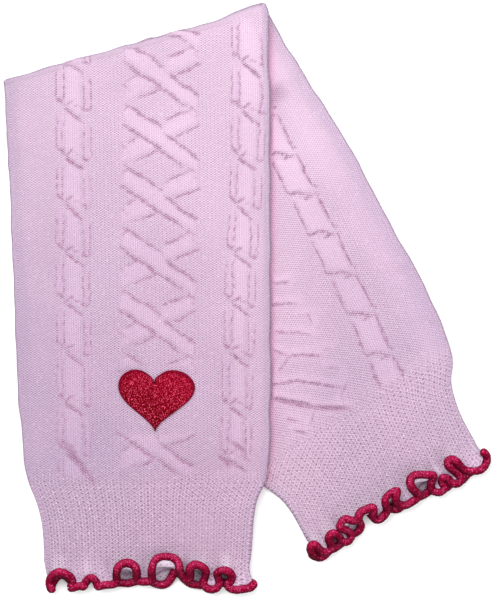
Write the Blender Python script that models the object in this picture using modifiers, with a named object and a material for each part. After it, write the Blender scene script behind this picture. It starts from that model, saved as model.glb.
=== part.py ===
"""A toddler's knitted leg warmer, pressed flat and folded in half on a slant.

The tube is one length of knitting with a plain knitted cuff at each end. It runs up from its near hem, turns under at
the fold, and comes out to the right below itself as the far leg. Both hems are stretched into a lettuce edge and bound
with a thick overlocked cord, and an embroidered heart lies on the near leg above its cuff.

Lengths are in millimetres until the meshes are made. A place on a leg is (across, along): along is the distance from
the fold, and across is positive to the right, seen from above. +Z is up and the far leg's underside is at z = 0.
"""

import math
from collections import namedtuple

import bmesh
import bpy
from mathutils import Vector

MM = 0.001

# ---- driving sizes -------------------------------------------------------------------------------------------------
WALL = 1.1  # thickness of the knitted cloth
HOLLOW = 0.6  # air between the two faces of the flat tube
HALF = WALL + HOLLOW / 2  # from the tube's middle plane to its outside
LEG_HEIGHT = 2 * HALF
LAYER_GAP = 0.4  # between the far leg and the near leg that lies on it
FOLD_SLACK = 1.0  # how much wider that gap is at the fold, where the cloth springs
SEAM = 0.3  # clearance between neighbouring pieces
SEAM_SPLAY = 0.2  # more of it where a cuff's cut edge splays
STITCH_HALF = 38.5  # half the tube's flat width at the fold: the columns of stitches are laid out on it

FOLD_CENTRE = Vector((-32.7, 74.7))
NEAR_HEADING = math.radians(0.93)  # of the near leg, from -Y towards +X
FAR_HEADING = math.radians(29.94)
FOLD_HALF_ANGLE = (FAR_HEADING - NEAR_HEADING) / 2  # between each leg's rows and the fold
SLANT_FADES = 48.0  # along a leg, where its rows have come square to it
DROP = 20.0  # the near leg comes down to the floor over this width, beside the far leg
DROP_RUNS = ((0.0, 0.0), (0.26, 0.13), (0.74, 0.87), (1.0, 1.0))  # its slope, in straight runs
HOLD = 14.0  # along the near leg, where the fold stops holding it up

CORD_RADIUS = 1.15  # overlocked edging
CORD_CLEAR = 0.65  # from the cord to the rim that it binds
FLOOR_CLEAR = 0.1  # from the cord to the floor, where it lies lowest
CURL = 5.6  # the free end of a hem that curls up in each wave
CURL_FLATNESS = 0.85  # height of a curl over that of a round one
HEM_LIFT = 1.7  # a hem's upper face stands this much higher, over the cord of the lower one

HEART_WIDTH = 22.8
HEART_HEIGHT = 18.8
HEART_THICK = 0.9
HEART_PLACE = (3.2, 106.0)  # across and along on the near leg
HEART_MARGIN = 2.6  # its stitching presses the knitting down this far beyond it
PRESSED_SHARE = 0.86  # of that whole width is pressed quite flat

RELIEF = 0.6  # height of the raised knitting
RELIEF_STOPS = 5.0  # short of a cuff, where it starts to sink into the plain cloth
RELIEF_SINKS = 3.0  # over this length
RELIEF_TURN = (1.3, 1.8)  # radians round the fold, where it sinks out of sight
CABLE_SPACING = 25.3  # from the lattice to the cable on each side of it: a sixth of the way round
ROWS_A_CROSSING = 10  # rings of the mesh from one crossing of the lattice to the next

Section = namedtuple("Section", "along left right")
Wave = namedtuple("Wave", "centre foot rise bulge lean")  # foot: half its width where it springs from the hem
Hang = namedtuple("Hang", "across by")  # how much further the hem reaches
Pattern = namedtuple("Pattern", "cable_at cable_repeat lattice_at lattice_repeat drift_top drift_rate")
Leg = namedtuple("Leg", "heading side sections cuff_at hem_at waves flare_left flare_right hang lower pattern")

NEAR = Leg(
    heading=NEAR_HEADING,
    side=1,  # its rows climb to the right, towards the fold
    sections=[
        Section(0, 41.0, 38.6),
        Section(30, 40.4, 38.5),
        Section(60, 39.7, 38.1),
        Section(105, 38.6, 37.4),
        Section(118, 37.4, 37.1),
        Section(124, 36.8, 36.5),
        Section(130, 35.5, 35.7),
        Section(136, 33.2, 32.9),
        Section(142, 31.8, 31.8),
        Section(148, 31.2, 31.3),
        Section(160, 31.3, 30.2),
    ],
    cuff_at=130.5,
    hem_at=159.2,
    waves=[
        Wave(-25.8, 2.6, 2.9, 0.4, 0.0),
        Wave(-17.4, 1.5, 1.0, 0.2, 0.0),
        Wave(-6.6, 2.6, 3.3, 0.5, 0.0),
        Wave(4.9, 3.4, 4.7, 0.6, 0.0),
        Wave(14.9, 2.4, 3.1, 0.5, -0.8),
        Wave(22.6, 1.6, 2.1, 1.2, 0.1),
    ],
    flare_left=15,
    flare_right=45,
    hang=[Hang(-31, 1.0), Hang(-23, 0.3), Hang(0, -0.2), Hang(12, 0.0), Hang(21, 0.5), Hang(31, 0.4)],
    lower=[Hang(-31, -1.6), Hang(-26, -2.8), Hang(-18, -0.3), Hang(-6, 0.3), Hang(6, 0.6), Hang(31, 0.0)],
    pattern=Pattern(77.4, 14.85, 64.2, 18.55, 6.6, -0.033),
)
FAR = Leg(
    heading=FAR_HEADING,
    side=-1,
    sections=[
        Section(0, 39.4, 38.6),
        Section(26, 39.4, 38.7),
        Section(55, 39.3, 39.4),
        Section(82, 38.8, 38.6),
        Section(109, 38.2, 37.9),
        Section(122, 37.0, 36.4),
        Section(128, 35.9, 34.8),
        Section(133, 33.4, 31.3),
        Section(139, 31.0, 29.4),
        Section(145, 30.3, 28.5),
        Section(158, 30.8, 28.3),
    ],
    cuff_at=127.0,
    hem_at=157.8,
    waves=[
        Wave(-23.3, 1.6, 2.2, 0.2, -0.3),
        Wave(-17.0, 1.9, 3.4, 0.2, 0.1),
        Wave(-10.0, 2.8, 3.0, 0.3, 0.8),
        Wave(-1.7, 2.4, 3.3, 0.4, 0.5),
        Wave(8.0, 3.2, 4.2, 0.5, 0.0),
        Wave(14.9, 1.6, 0.8, 0.1, 0.0),
        Wave(20.9, 1.8, 3.6, 0.3, -0.4),
    ],
    flare_left=45,
    flare_right=75,
    hang=[Hang(-30, 0.6), Hang(-18, 0.2), Hang(0, -0.2), Hang(13, 1.2), Hang(24, 1.4), Hang(30, 0.8)],
    lower=[Hang(-29, -0.4), Hang(-18, 0.5), Hang(-8, -0.6), Hang(3, 0.6), Hang(14, -0.4), Hang(28, 0.3)],
    pattern=Pattern(90.3, 13.4, 97.0, 17.7, -7.8, -0.005),
)


# ---- small sums ----------------------------------------------------------------------------------------------------
def smooth(x):
    """0 below 0, 1 above 1, and an even ease between."""
    x = min(1.0, max(0.0, x))
    return x * x * (3 - 2 * x)


def read_straight(runs, place):
    """The height of a chain of straight runs, given as (place, height) pairs."""
    for (low, start), (high, end) in zip(runs, runs[1:]):
        if place <= high:
            return start + (end - start) * max(0.0, place - low) / (high - low)
    return runs[-1][1]


def read(rows, place, column, key="along"):
    """A column of a table at a place between its rows, on a smooth curve through them."""
    x, y = [getattr(row, key) for row in rows], [getattr(row, column) for row in rows]
    if place <= x[0]:
        return y[0]
    if place >= x[-1]:
        return y[-1]
    i = next(k for k in range(1, len(x)) if place <= x[k])

    def slope(k):
        low, high = max(k - 1, 0), min(k + 1, len(x) - 1)
        return (y[high] - y[low]) / (x[high] - x[low])

    span = x[i] - x[i - 1]
    u = (place - x[i - 1]) / span
    start = (1 + 2 * u) * (1 - u) ** 2 * y[i - 1] + u * (1 - u) ** 2 * span * slope(i - 1)
    end = u * u * (3 - 2 * u) * y[i] + u * u * (u - 1) * span * slope(i)
    return start + end


def plan(leg, across, along):
    """The place on the floor plan of a place on a leg."""
    c, s = math.cos(leg.heading), math.sin(leg.heading)
    return FOLD_CENTRE + Vector((c, s)) * across + Vector((s, -c)) * along


def on_leg(leg, place):
    """(across, along) of a place on the floor plan."""
    c, s = math.cos(leg.heading), math.sin(leg.heading)
    away = place - FOLD_CENTRE
    return away.dot(Vector((c, s))), away.dot(Vector((s, -c)))


def slant_of(leg, along):
    """Slope of a leg's row of stitches: along the fold there, and square to the leg at its cuff."""
    return leg.side * math.tan(FOLD_HALF_ANGLE) * (1 - smooth(along / SLANT_FADES))


# ---- heights -------------------------------------------------------------------------------------------------------
def carried_by_far_leg(place):
    """1 over the far leg, and down to 0 in straight runs over the drop beside its left edge."""
    across, _ = on_leg(FAR, place)
    inside = across + FAR.sections[0].left
    return read_straight(DROP_RUNS, 1 + inside / DROP)


def outside_near_leg(place):
    """How far a place on the plan lies to the right of the near leg."""
    across, along = on_leg(NEAR, place)
    return across - read(NEAR.sections, along, "right")


def near_floor(place, along):
    """Height of the near leg's underside: on the far leg, and down on the floor beside it."""
    carried = carried_by_far_leg(place)
    held = 1 - smooth(along / HOLD)
    carried = 1 - (1 - carried) * (1 - held)
    return (LEG_HEIGHT + LAYER_GAP) * carried + FOLD_SLACK * held


def floor_under(leg, place, along):
    return near_floor(place, along) if leg is NEAR else 0.0


# ---- raised knitting -----------------------------------------------------------------------------------------------
LATTICE_HALF = 12.0  # half the lattice's width
LATTICE_EDGE = 1.2  # its bands sink over this width at each side
BAND_SLOPE = 0.62  # a lattice band runs this far along for each step across
BAND = 3.6  # half the height of a band's foot
UNDER_BAND = 0.85  # height of the band that passes under, over that of the one on top
UNDER_BAND_DIVES = 1.5  # it sinks over this length before the one on top
LINK = 3.3  # half the width of a cable's links
STRAND = (3.8, 5.6)  # the cord of stitches beside the links, from and to
STRAND_HEIGHT = 0.6  # over that of the links
CABLE_SHEAR = 0.7  # the crossings of a cable run down to the right


def ridge(offset, half):
    """A rounded ridge, 1 in its middle and 0 at its edge."""
    return 1 - (offset / half) ** 4 if abs(offset) < half else 0.0


def lattice(x, along, pattern):
    """Two bands that cross each other in straight runs, the one running down to the right on top."""
    turns = (along - pattern.lattice_at) / pattern.lattice_repeat
    inside = 1 - smooth((abs(x) - LATTICE_HALF + LATTICE_EDGE) / LATTICE_EDGE)
    height = 0.0
    for near in (math.floor(turns), math.floor(turns) + 1):
        down = (turns - near) * pattern.lattice_repeat
        over, under = down - BAND_SLOPE * x, down + BAND_SLOPE * x
        clear = smooth((abs(over) - BAND) / UNDER_BAND_DIVES)
        height = max(height, ridge(over, BAND), UNDER_BAND * ridge(under, BAND) * clear)
    return height * inside


def cable(x, along, pattern):
    """A chain of links that cross, with a narrow strand on each side."""
    turns = (along - pattern.cable_at - CABLE_SHEAR * x) / pattern.cable_repeat
    within = abs(2 * (turns - math.floor(turns)) - 1)
    link = ridge(x, LINK) * (1 - within**6)
    middle = (STRAND[0] + STRAND[1]) / 2
    strand = STRAND_HEIGHT * ridge(abs(x) - middle, (STRAND[1] - STRAND[0]) / 2) * (1 - within**8)
    return max(link, strand)


def relief(stitch, along, pattern):
    """Height of the raised knitting at a column of stitches, over the plain cloth."""
    height = lattice(stitch, along, pattern)
    for middle in (-CABLE_SPACING, CABLE_SPACING):
        height = max(height, cable(stitch - middle, along, pattern))
    return RELIEF * height


def under_heart(place):
    """1 where the heart's stitching presses the knitting flat, and 0 clear of it."""
    across, along = on_leg(NEAR, place)
    x = (across - HEART_PLACE[0]) / (HEART_WIDTH / 2 + HEART_MARGIN)
    y = (along - HEART_PLACE[1]) / (HEART_HEIGHT / 2 + HEART_MARGIN)
    return 1 - smooth(((x**4 + y**4) ** 0.25 - PRESSED_SHARE) / (1 - PRESSED_SHARE))


# ---- the body: rings round the tube --------------------------------------------------------------------------------
def spread(first, last, step):
    """Evenly spaced numbers from first to last, about step apart."""
    count = max(1, round(abs(last - first) / step))
    return [first + (last - first) * i / count for i in range(count + 1)]


def stitch_columns(shown_from):
    """Columns of stitches across one face of the tube: close together on the raised knitting that shows."""
    cable_columns = (-5.6, -4.7, -3.8, -2.65, 0.0, 2.65, 3.8, 4.7, 5.6)
    lattice_columns = spread(-LATTICE_HALF, LATTICE_HALF, 3.0)
    fine = [CABLE_SPACING + c for c in cable_columns] + lattice_columns
    fine += [-CABLE_SPACING + c for c in cable_columns]
    fine = [c for c in fine if c >= shown_from]
    plain = [c for c in spread(-STITCH_HALF, STITCH_HALF, 3.5) if all(abs(c - f) > 1.7 for f in fine)]
    return sorted(fine + plain)


OUTSIDE = stitch_columns(-STITCH_HALF)  # the face that the fold turns outwards, on top of the near leg
INSIDE = stitch_columns(-9.0)  # the face that shows on the far leg
LINING = spread(-STITCH_HALF, STITCH_HALF, 3.85)
SIDE_TURNS = (60, 120)  # points on the rounded side, in degrees from the outside face

Ring = namedtuple("Ring", "leg along turn")


def drift(leg, along, stitch):
    """How far the flattened tube has turned at a column of stitches: nothing at its edges."""
    amount = leg.pattern.drift_top + leg.pattern.drift_rate * along
    return amount * (1 - (stitch / STITCH_HALF) ** 4)


def ring_place(ring, stitch, beyond=0.0):
    """(across, along) of a column of stitches on a ring; beyond is past the flat part, on the rounded side."""
    right = stitch > 0
    width = read(ring.leg.sections, ring.along, "right" if right else "left") - HALF
    turned = drift(ring.leg, ring.along, stitch)
    across = stitch / STITCH_HALF * width + (turned if not beyond else 0.0) + math.copysign(beyond, stitch)
    return across, ring.along - across * slant_of(ring.leg, ring.along)


def ring_point(ring, stitch, outward, beyond=0.0):
    """A point on a ring. outward is its distance from the tube's middle plane, towards the outside of the fold."""
    across, along = ring_place(ring, stitch, beyond)
    place = plan(ring.leg, across, along)
    radius = HALF + (LAYER_GAP + FOLD_SLACK) / 2 + outward
    axis = LEG_HEIGHT + (LAYER_GAP + FOLD_SLACK) / 2
    if ring.turn:
        tilt = NEAR_HEADING + FOLD_HALF_ANGLE
        up_slope = Vector((-math.sin(tilt), math.cos(tilt)))
        place = place + up_slope * radius * math.sin(ring.turn)
        return Vector((place.x, place.y, axis + radius * math.cos(ring.turn)))
    if ring.leg is NEAR:
        return Vector((place.x, place.y, near_floor(place, ring.along) + HALF + outward))
    return Vector((place.x, place.y, HALF - outward))


def shown_relief(ring, stitch, outside):
    """The raised knitting at a column, on the faces that are seen: the near leg's top and the far leg's top."""
    across, along = ring_place(ring, stitch)
    place = plan(ring.leg, across, along)
    before_cuff = 1 - smooth((along - ring.leg.cuff_at + RELIEF_STOPS) / RELIEF_SINKS)
    if outside and ring.leg is NEAR:
        start, end = RELIEF_TURN
        shown = (1 - under_heart(place)) * (1 - smooth((ring.turn - start) / (end - start)))
        along -= ring.turn * (LEG_HEIGHT + HALF)
        return before_cuff * shown * relief(stitch, along, NEAR.pattern)
    if not outside and ring.leg is FAR:
        shown = smooth((outside_near_leg(place) + 0.4) / 2.4)  # it rises just beside the near leg
        return before_cuff * shown * relief(stitch, along, FAR.pattern)
    return 0.0


def ring_loops(ring):
    """The cloth's outer and inner loop on a ring, as (key, point) pairs. The keys run the same way round on both."""
    outer, inner = [], []
    for stitch in OUTSIDE:
        height = HALF + shown_relief(ring, stitch, True)
        outer.append((stitch / STITCH_HALF, ring_point(ring, stitch, height)))
    for stitch in LINING:
        inner.append((stitch / STITCH_HALF, ring_point(ring, stitch, HOLLOW / 2)))
    add_side(ring, outer, inner, STITCH_HALF, 1.0, SIDE_TURNS)
    for stitch in reversed(INSIDE):
        height = HALF + shown_relief(ring, stitch, False)
        outer.append((3 - stitch / STITCH_HALF, ring_point(ring, stitch, -height)))
    for stitch in reversed(LINING):
        inner.append((3 - stitch / STITCH_HALF, ring_point(ring, stitch, -HOLLOW / 2)))
    add_side(ring, outer, inner, -STITCH_HALF, 4.0, SIDE_TURNS[::-1])
    return outer, inner


def add_side(ring, outer, inner, stitch, key, turns):
    """The rounded side at one edge of a ring."""
    for count, turn in enumerate(turns):
        angle = math.radians(turn)
        height, beyond = HALF * math.cos(angle), HALF * math.sin(angle)
        outer.append((key + (count + 1) / (len(turns) + 1), ring_point(ring, stitch, height, beyond)))
    inner.append((key + 0.5, ring_point(ring, stitch, 0.0, HOLLOW / 2)))


def leg_rows(leg):
    """Where a leg's rings lie: in step with its lattice, from the fold to the seam with its cuff."""
    step = leg.pattern.lattice_repeat / ROWS_A_CROSSING
    first = leg.pattern.lattice_at % step
    seam = leg.cuff_at - SEAM / 2
    rows = [first + step * i for i in range(int((seam - first) / step) + 1)]
    return [0.0] + [row for row in rows if 0.4 * step < row < seam - 0.4 * step] + [seam]


def body_rings():
    """Rings from the near cuff, up the near leg, round the fold and down the far leg, with each leg's inner ones."""
    near = [Ring(NEAR, along, 0.0) for along in reversed(leg_rows(NEAR))]
    fold = [Ring(NEAR, 0.0, math.radians(turn)) for turn in range(30, 180, 30)]
    far = [Ring(FAR, along, 0.0) for along in leg_rows(FAR)]
    lining = [r for i, r in enumerate(near) if i % 2 == 0 or i == len(near) - 1]
    lining += fold + [r for i, r in enumerate(far) if i % 2 == 0 or i == len(far) - 1]
    return near + fold + far, lining


# ---- meshes --------------------------------------------------------------------------------------------------------
def add_loop(mesh, points):
    return [mesh.verts.new(p * MM) for p in points]


def join_loops(mesh, first, second):
    """Pairs of triangles between two loops with the same number of points, split along the more level diagonal."""
    count = len(first)
    for i in range(count):
        j = (i + 1) % count
        a, b, c, d = first[i], first[j], second[j], second[i]
        if abs(a.co.z - c.co.z) <= abs(b.co.z - d.co.z):
            mesh.faces.new((a, b, c))
            mesh.faces.new((a, c, d))
        else:
            mesh.faces.new((a, b, d))
            mesh.faces.new((b, c, d))


def zip_loops(mesh, first, first_keys, second, second_keys, turn):
    """Triangles between two loops with their own numbers of points, paired by their keys. turn is a loop's length."""
    i = j = 0
    while i < len(first) or j < len(second):
        next_first = first_keys[i + 1] if i + 1 < len(first) else first_keys[0] + turn
        next_second = second_keys[j + 1] if j + 1 < len(second) else second_keys[0] + turn
        a, b = first[i % len(first)], second[j % len(second)]
        if j >= len(second) or (i < len(first) and next_first <= next_second):
            i += 1
            mesh.faces.new((a, first[i % len(first)], b))
        else:
            j += 1
            mesh.faces.new((a, second[j % len(second)], b))


def make_object(name, mesh, material, collection, root):
    """A named object from a bmesh, its faces turned out, in the part's collection."""
    bmesh.ops.recalc_face_normals(mesh, faces=mesh.faces)
    data = bpy.data.meshes.new(name)
    mesh.to_mesh(data)
    mesh.free()
    data.shade_smooth()
    data.set_sharp_from_angle(angle=math.radians(50))
    data.materials.append(material)
    made = bpy.data.objects.new(name, data)
    made.parent = root
    collection.objects.link(made)
    return made


def merge_plain_faces(made):
    """The cloth's flat stretches become single faces."""
    plain = made.modifiers.new("plain stretches", "DECIMATE")
    plain.decimate_type = "DISSOLVE"
    plain.angle_limit = math.radians(0.25)


def make_body(material, collection, root):
    """The knitted tube between its two cuffs, as one wall."""
    mesh = bmesh.new()
    rings, lining = body_rings()
    shape = {"outer": [ring_loops(r)[0] for r in rings], "inner": [ring_loops(r)[1] for r in lining]}
    ends = {}
    for skin, loops in shape.items():
        made = [add_loop(mesh, [point for _, point in loop]) for loop in loops]
        for first, second in zip(made, made[1:]):
            join_loops(mesh, first, second)
        ends[skin] = (made[0], made[-1], [key for key, _ in loops[0]])
    for end in (0, 1):
        zip_loops(mesh, ends["outer"][end], ends["outer"][2], ends["inner"][end], ends["inner"][2], 6.0)
    make_object("knitted_body", mesh, material, collection, root)


# ---- the cuffs and their lettuce hems ------------------------------------------------------------------------------
Column = namedtuple("Column", "face across wave turn")  # turn: radians round a wave's arch, or round the tube's side
TALL_WAVE = 4.0  # a wave that rises more than this has more columns
CUFF_ROW = 5.0  # spacing of a cuff's rows on its flat part
MIDDLE = (HOLLOW + WALL) / 2  # from the tube's middle plane to the middle of its cloth


def flat_half(leg, along, right):
    """Half the width of the tube's flat part, to the left or right of its axis."""
    return read(leg.sections, along, "right" if right else "left") - HALF


def hem_columns(leg):
    """Columns round a hem: its upper face from left to right, a side, its lower face back, and the other side."""
    left, right = -flat_half(leg, leg.hem_at, False), flat_half(leg, leg.hem_at, True)
    upper = [Column("upper", left, None, 0.0)]
    for wave in leg.waves:
        for turn in spread(0, math.pi, math.pi / (8 if wave.rise > TALL_WAVE else 6)):
            across = wave.centre - wave.foot * math.cos(turn)
            if across - upper[-1].across > 0.05:
                upper.append(Column("upper", across, wave, turn))
    upper.append(Column("upper", right, None, 0.0))
    lower = [Column("lower", across, None, 0.0) for across in spread(right, left, 3.6)]
    turns = [math.radians(turn) for turn in range(36, 180, 36)]
    right_side = [Column("side", right, None, turn) for turn in turns]
    left_side = [Column("side", left, None, turn) for turn in reversed(turns)]
    return upper + right_side + lower + left_side


def curl_angle(share):
    """The angle through which a strip curls when its end comes back to this share of its length."""
    low, high = 0.0, 1.2 * math.pi
    for _ in range(40):
        angle = (low + high) / 2
        if math.sin(angle) / angle > share:
            low = angle
        else:
            high = angle
    return low


def curled_end(length, angle):
    """How far a strip runs, and how far it stands out, where it has curled through an angle."""
    if angle < 1e-6:
        return length, 0.0
    return length * math.sin(angle) / angle, CURL_FLATNESS * length * (1 - math.cos(angle)) / angle


def cuff_point(leg, column, along, curled):
    """A point in the middle of a cuff's cloth. curled is how much of the hem's free end lies before it."""
    right = column.across > 0
    share = curled / CURL
    hang = share * read(leg.hang, column.across, "by", "across")
    lower_hang = hang + share * read(leg.lower, column.across, "by", "across")
    across = column.across * flat_half(leg, along, right) / flat_half(leg, leg.hem_at, right)
    start = along - curled
    lift = HEM_LIFT * smooth(share)
    if column.face == "upper":
        arch = math.sin(column.turn)
        rise = column.wave.rise * arch if column.wave else 0.0
        run, out = curled_end(curled, share * curl_angle(1 - rise / CURL))
        run += hang * (1 - arch)
        height = MIDDLE + lift * (1 - arch) + out
        if column.wave:
            spring = column.wave.lean - column.wave.foot * column.wave.bulge * math.cos(column.turn)
            across += spring * arch * share**2
    elif column.face == "lower":
        run = curled + lower_hang
        height = -MIDDLE
    else:
        flare = math.radians(leg.flare_right if right else leg.flare_left) * math.sin(column.turn)
        run, out = curled_end(curled, share * flare)
        run += hang + (lower_hang - hang) * (1 - math.cos(column.turn)) / 2
        height = lift / 2 + (MIDDLE + lift / 2) * math.cos(column.turn) + max(0.0, math.cos(column.turn)) * out
        across += math.copysign((MIDDLE + out) * math.sin(column.turn), across)
    place = plan(leg, across, start + run)
    return Vector((place.x, place.y, height + floor_under(leg, place, start + run) + HALF))


def cuff_rows(leg):
    """(along, curled) of each row of a cuff, from its seam with the body to its rim."""
    first = leg.cuff_at + SEAM / 2 + SEAM_SPLAY
    flat = [(along, 0.0) for along in spread(first, leg.hem_at - CURL, CUFF_ROW)]
    return flat + [(leg.hem_at - CURL + curled, curled) for curled in spread(0, CURL, CURL / 5)[1:]]


def make_cuff(name, leg, material, collection, root):
    """One knitted cuff, from the body's seam to its rippled rim."""
    mesh = bmesh.new()
    columns = hem_columns(leg)
    rows = [add_loop(mesh, [cuff_point(leg, c, *row) for c in columns]) for row in cuff_rows(leg)]
    for first, second in zip(rows, rows[1:]):
        join_loops(mesh, first, second)
    cuff = make_object(name, mesh, material, collection, root)
    cloth = cuff.modifiers.new("cloth", "SOLIDIFY")
    cloth.thickness = WALL * MM
    cloth.offset = 0.0
    merge_plain_faces(cuff)


def make_edging(name, leg, material, collection, root):
    """The overlocked cord round a hem, just clear of the cloth's rim."""
    points = []
    rows = cuff_rows(leg)
    for column in hem_columns(leg):
        rim, before = cuff_point(leg, column, *rows[-1]), cuff_point(leg, column, *rows[-2])
        centre = rim + (rim - before).normalized() * (CORD_RADIUS + CORD_CLEAR)
        centre.z = max(centre.z, CORD_RADIUS + FLOOR_CLEAR)
        points.append(centre)
    curve = bpy.data.curves.new(name, "CURVE")
    curve.dimensions = "3D"
    curve.bevel_depth = CORD_RADIUS * MM
    curve.bevel_resolution = 1
    spline = curve.splines.new("POLY")
    spline.points.add(len(points) - 1)
    for point, place in zip(spline.points, points):
        point.co = (*(place * MM), 1.0)
    spline.use_cyclic_u = True
    curve.materials.append(material)
    edging = bpy.data.objects.new(name, curve)
    edging.parent = root
    collection.objects.link(edging)


# ---- the heart -----------------------------------------------------------------------------------------------------
HEART_POINTS = 36


def heart_outline(count):
    """Points round a heart one wide and one high, centred, its tip at the bottom."""
    points = []
    for i in range(count):
        t = 2 * math.pi * i / count
        x = 16 * math.sin(t) ** 3
        y = 13 * math.cos(t) - 5 * math.cos(2 * t) - 2 * math.cos(3 * t) - math.cos(4 * t)
        points.append(Vector((x / 32, (y + 2.55) / 28.9)))
    return points


def make_heart(material, collection, root):
    """The embroidered heart, made from the near leg's surface under it, moved out."""
    mesh = bmesh.new()
    outline = heart_outline(HEART_POINTS)
    top = ((1.0, 0.45), (0.95, 1.0), (0.86, 0.85), (0.6, 0.85), (0.3, 0.85))
    underside = ((0.3, 0.0), (0.6, 0.0), (0.97, 0.0))

    def lifted(point, height):
        across, along = HEART_PLACE[0] + point.x * HEART_WIDTH, HEART_PLACE[1] - point.y * HEART_HEIGHT
        place = plan(NEAR, across, along)
        surface = near_floor(place, along) + LEG_HEIGHT + SEAM
        return Vector((place.x, place.y, surface + height * HEART_THICK))

    middle = Vector((0, -0.03))
    loops = [add_loop(mesh, [lifted(middle + (p - middle) * size, h) for p in outline]) for size, h in underside + top]
    for first, second in zip(loops, loops[1:]):
        join_loops(mesh, first, second)
    for loop, height in ((loops[0], 0.0), (loops[-1], 0.85)):
        centre = mesh.verts.new(lifted(middle, height) * MM)
        for i in range(HEART_POINTS):
            mesh.faces.new((loop[i], loop[(i + 1) % HEART_POINTS], centre))
    make_object("embroidered_heart", mesh, material, collection, root)


# ---- assembly ------------------------------------------------------------------------------------------------------
def make_material(name, colour, roughness):
    material = bpy.data.materials.new(name)
    material.use_nodes = True
    shader = material.node_tree.nodes["Principled BSDF"]
    shader.inputs["Base Color"].default_value = (*colour, 1.0)
    shader.inputs["Roughness"].default_value = roughness
    shader.inputs["Metallic"].default_value = 0.0
    return material


def centre_on_floor(collection, root):
    """Moves the whole part so that its box stands centred on the origin."""
    bpy.context.view_layer.update()
    graph = bpy.context.evaluated_depsgraph_get()
    points = []
    for made in collection.objects:
        if made.type in ("MESH", "CURVE"):
            shape = made.evaluated_get(graph)
            points += [shape.matrix_world @ vertex.co for vertex in shape.to_mesh().vertices]
    low = Vector(min(p[axis] for p in points) for axis in range(3))
    high = Vector(max(p[axis] for p in points) for axis in range(3))
    root.location = (-(low.x + high.x) / 2, -(low.y + high.y) / 2, 0)
    bpy.context.view_layer.update()


def build():
    for old in list(bpy.data.objects):
        bpy.data.objects.remove(old, do_unlink=True)
    collection = bpy.data.collections.new("leg_warmer")
    bpy.context.scene.collection.children.link(collection)
    root = bpy.data.objects.new("leg_warmer_root", None)
    collection.objects.link(root)
    knit = make_material("pink_knit", (0.78, 0.55, 0.70), 0.9)
    cuff_knit = make_material("pink_cuff_knit", (0.72, 0.50, 0.65), 0.9)
    thread = make_material("crimson_thread", (0.55, 0.01, 0.10), 0.6)
    embroidery = make_material("crimson_embroidery", (0.42, 0.006, 0.04), 0.55)
    make_body(knit, collection, root)
    for name, leg in (("near", NEAR), ("far", FAR)):
        make_cuff(f"{name}_cuff", leg, cuff_knit, collection, root)
        make_edging(f"{name}_edging", leg, thread, collection, root)
    make_heart(embroidery, collection, root)
    centre_on_floor(collection, root)


build()
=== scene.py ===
"""The looks of a toddler's knitted leg warmer that lies flat, folded in half on a slant.

Lengths are in millimetres until the meshes are made. A place on a leg is (across, along): along is the distance from
the fold, and across is positive to the right, seen from above. A stitch is a column of the knitting, counted in
millimetres from the middle of a face of the flattened tube, and a row is where it lies along the leg.
"""

import math
from collections import namedtuple

import bmesh
import bpy
import numpy as np
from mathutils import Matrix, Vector


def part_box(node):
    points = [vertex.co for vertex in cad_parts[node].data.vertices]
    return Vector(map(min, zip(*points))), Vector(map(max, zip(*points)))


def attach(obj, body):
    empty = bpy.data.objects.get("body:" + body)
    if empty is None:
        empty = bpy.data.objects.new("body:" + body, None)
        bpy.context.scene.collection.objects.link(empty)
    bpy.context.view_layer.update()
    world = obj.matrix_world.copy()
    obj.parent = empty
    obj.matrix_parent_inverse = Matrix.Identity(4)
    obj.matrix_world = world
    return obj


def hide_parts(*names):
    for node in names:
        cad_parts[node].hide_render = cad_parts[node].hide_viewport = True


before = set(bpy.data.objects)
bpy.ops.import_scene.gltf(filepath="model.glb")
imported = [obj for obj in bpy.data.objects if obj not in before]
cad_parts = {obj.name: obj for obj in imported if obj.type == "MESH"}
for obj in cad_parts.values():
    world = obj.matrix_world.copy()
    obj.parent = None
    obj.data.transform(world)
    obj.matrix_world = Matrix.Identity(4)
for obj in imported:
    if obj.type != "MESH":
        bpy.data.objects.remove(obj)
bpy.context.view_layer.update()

MM = 0.001

# ---- the garment's sizes, as in the CAD ----
WALL = 1.1
HOLLOW = 0.6  # air between the two faces of the flattened tube
HALF = WALL + HOLLOW / 2
MIDDLE = (HOLLOW + WALL) / 2  # from the tube's middle plane to the middle of a face's cloth
LEG_HEIGHT = 2 * HALF
LAYER_GAP = 0.4  # air between the two legs
FOLD_SLACK = 1.0  # how much wider that is at the fold
STITCH_HALF = 38.5  # half the width of a face, in stitches

NEAR_HEADING = math.radians(0.93)
FAR_HEADING = math.radians(29.94)
FOLD_HALF_ANGLE = (FAR_HEADING - NEAR_HEADING) / 2
SLANT_FADES = 48.0  # the rings run along the fold at first, and from here on square to the leg
DROP = 20.0  # beside the far leg, the near one comes down to the floor over this width
HOLD = 14.0  # and this close to the fold it is held up

CURL = 7.4  # length of the free end of a cuff that curls
SIDE_BULGE = 0.5
CURL_FLATNESS = 0.85
FULL_CURL = 5.5  # where the rim has come back this far, the curl stands at its full height
HEM_LIFT = 1.7

HEART_WIDTH, HEART_HEIGHT = 22.8, 18.8
HEART_PLACE = (3.2, 106.0)
HEART_MARGIN = 2.2  # plain cloth round the heart

LEFT, RIGHT = 1, 2  # columns of a leg's sections: (along, reach to the left, reach to the right)
Pattern = namedtuple("Pattern", "lattice_at lattice_repeat drift_top drift_rate")
# side is 1 or -1 for the way the rings slant at the fold, and upper and lower are the hem's rim on each layer
Leg = namedtuple("Leg", "name heading side sections cuff_at hem_at upper lower pattern")

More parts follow.
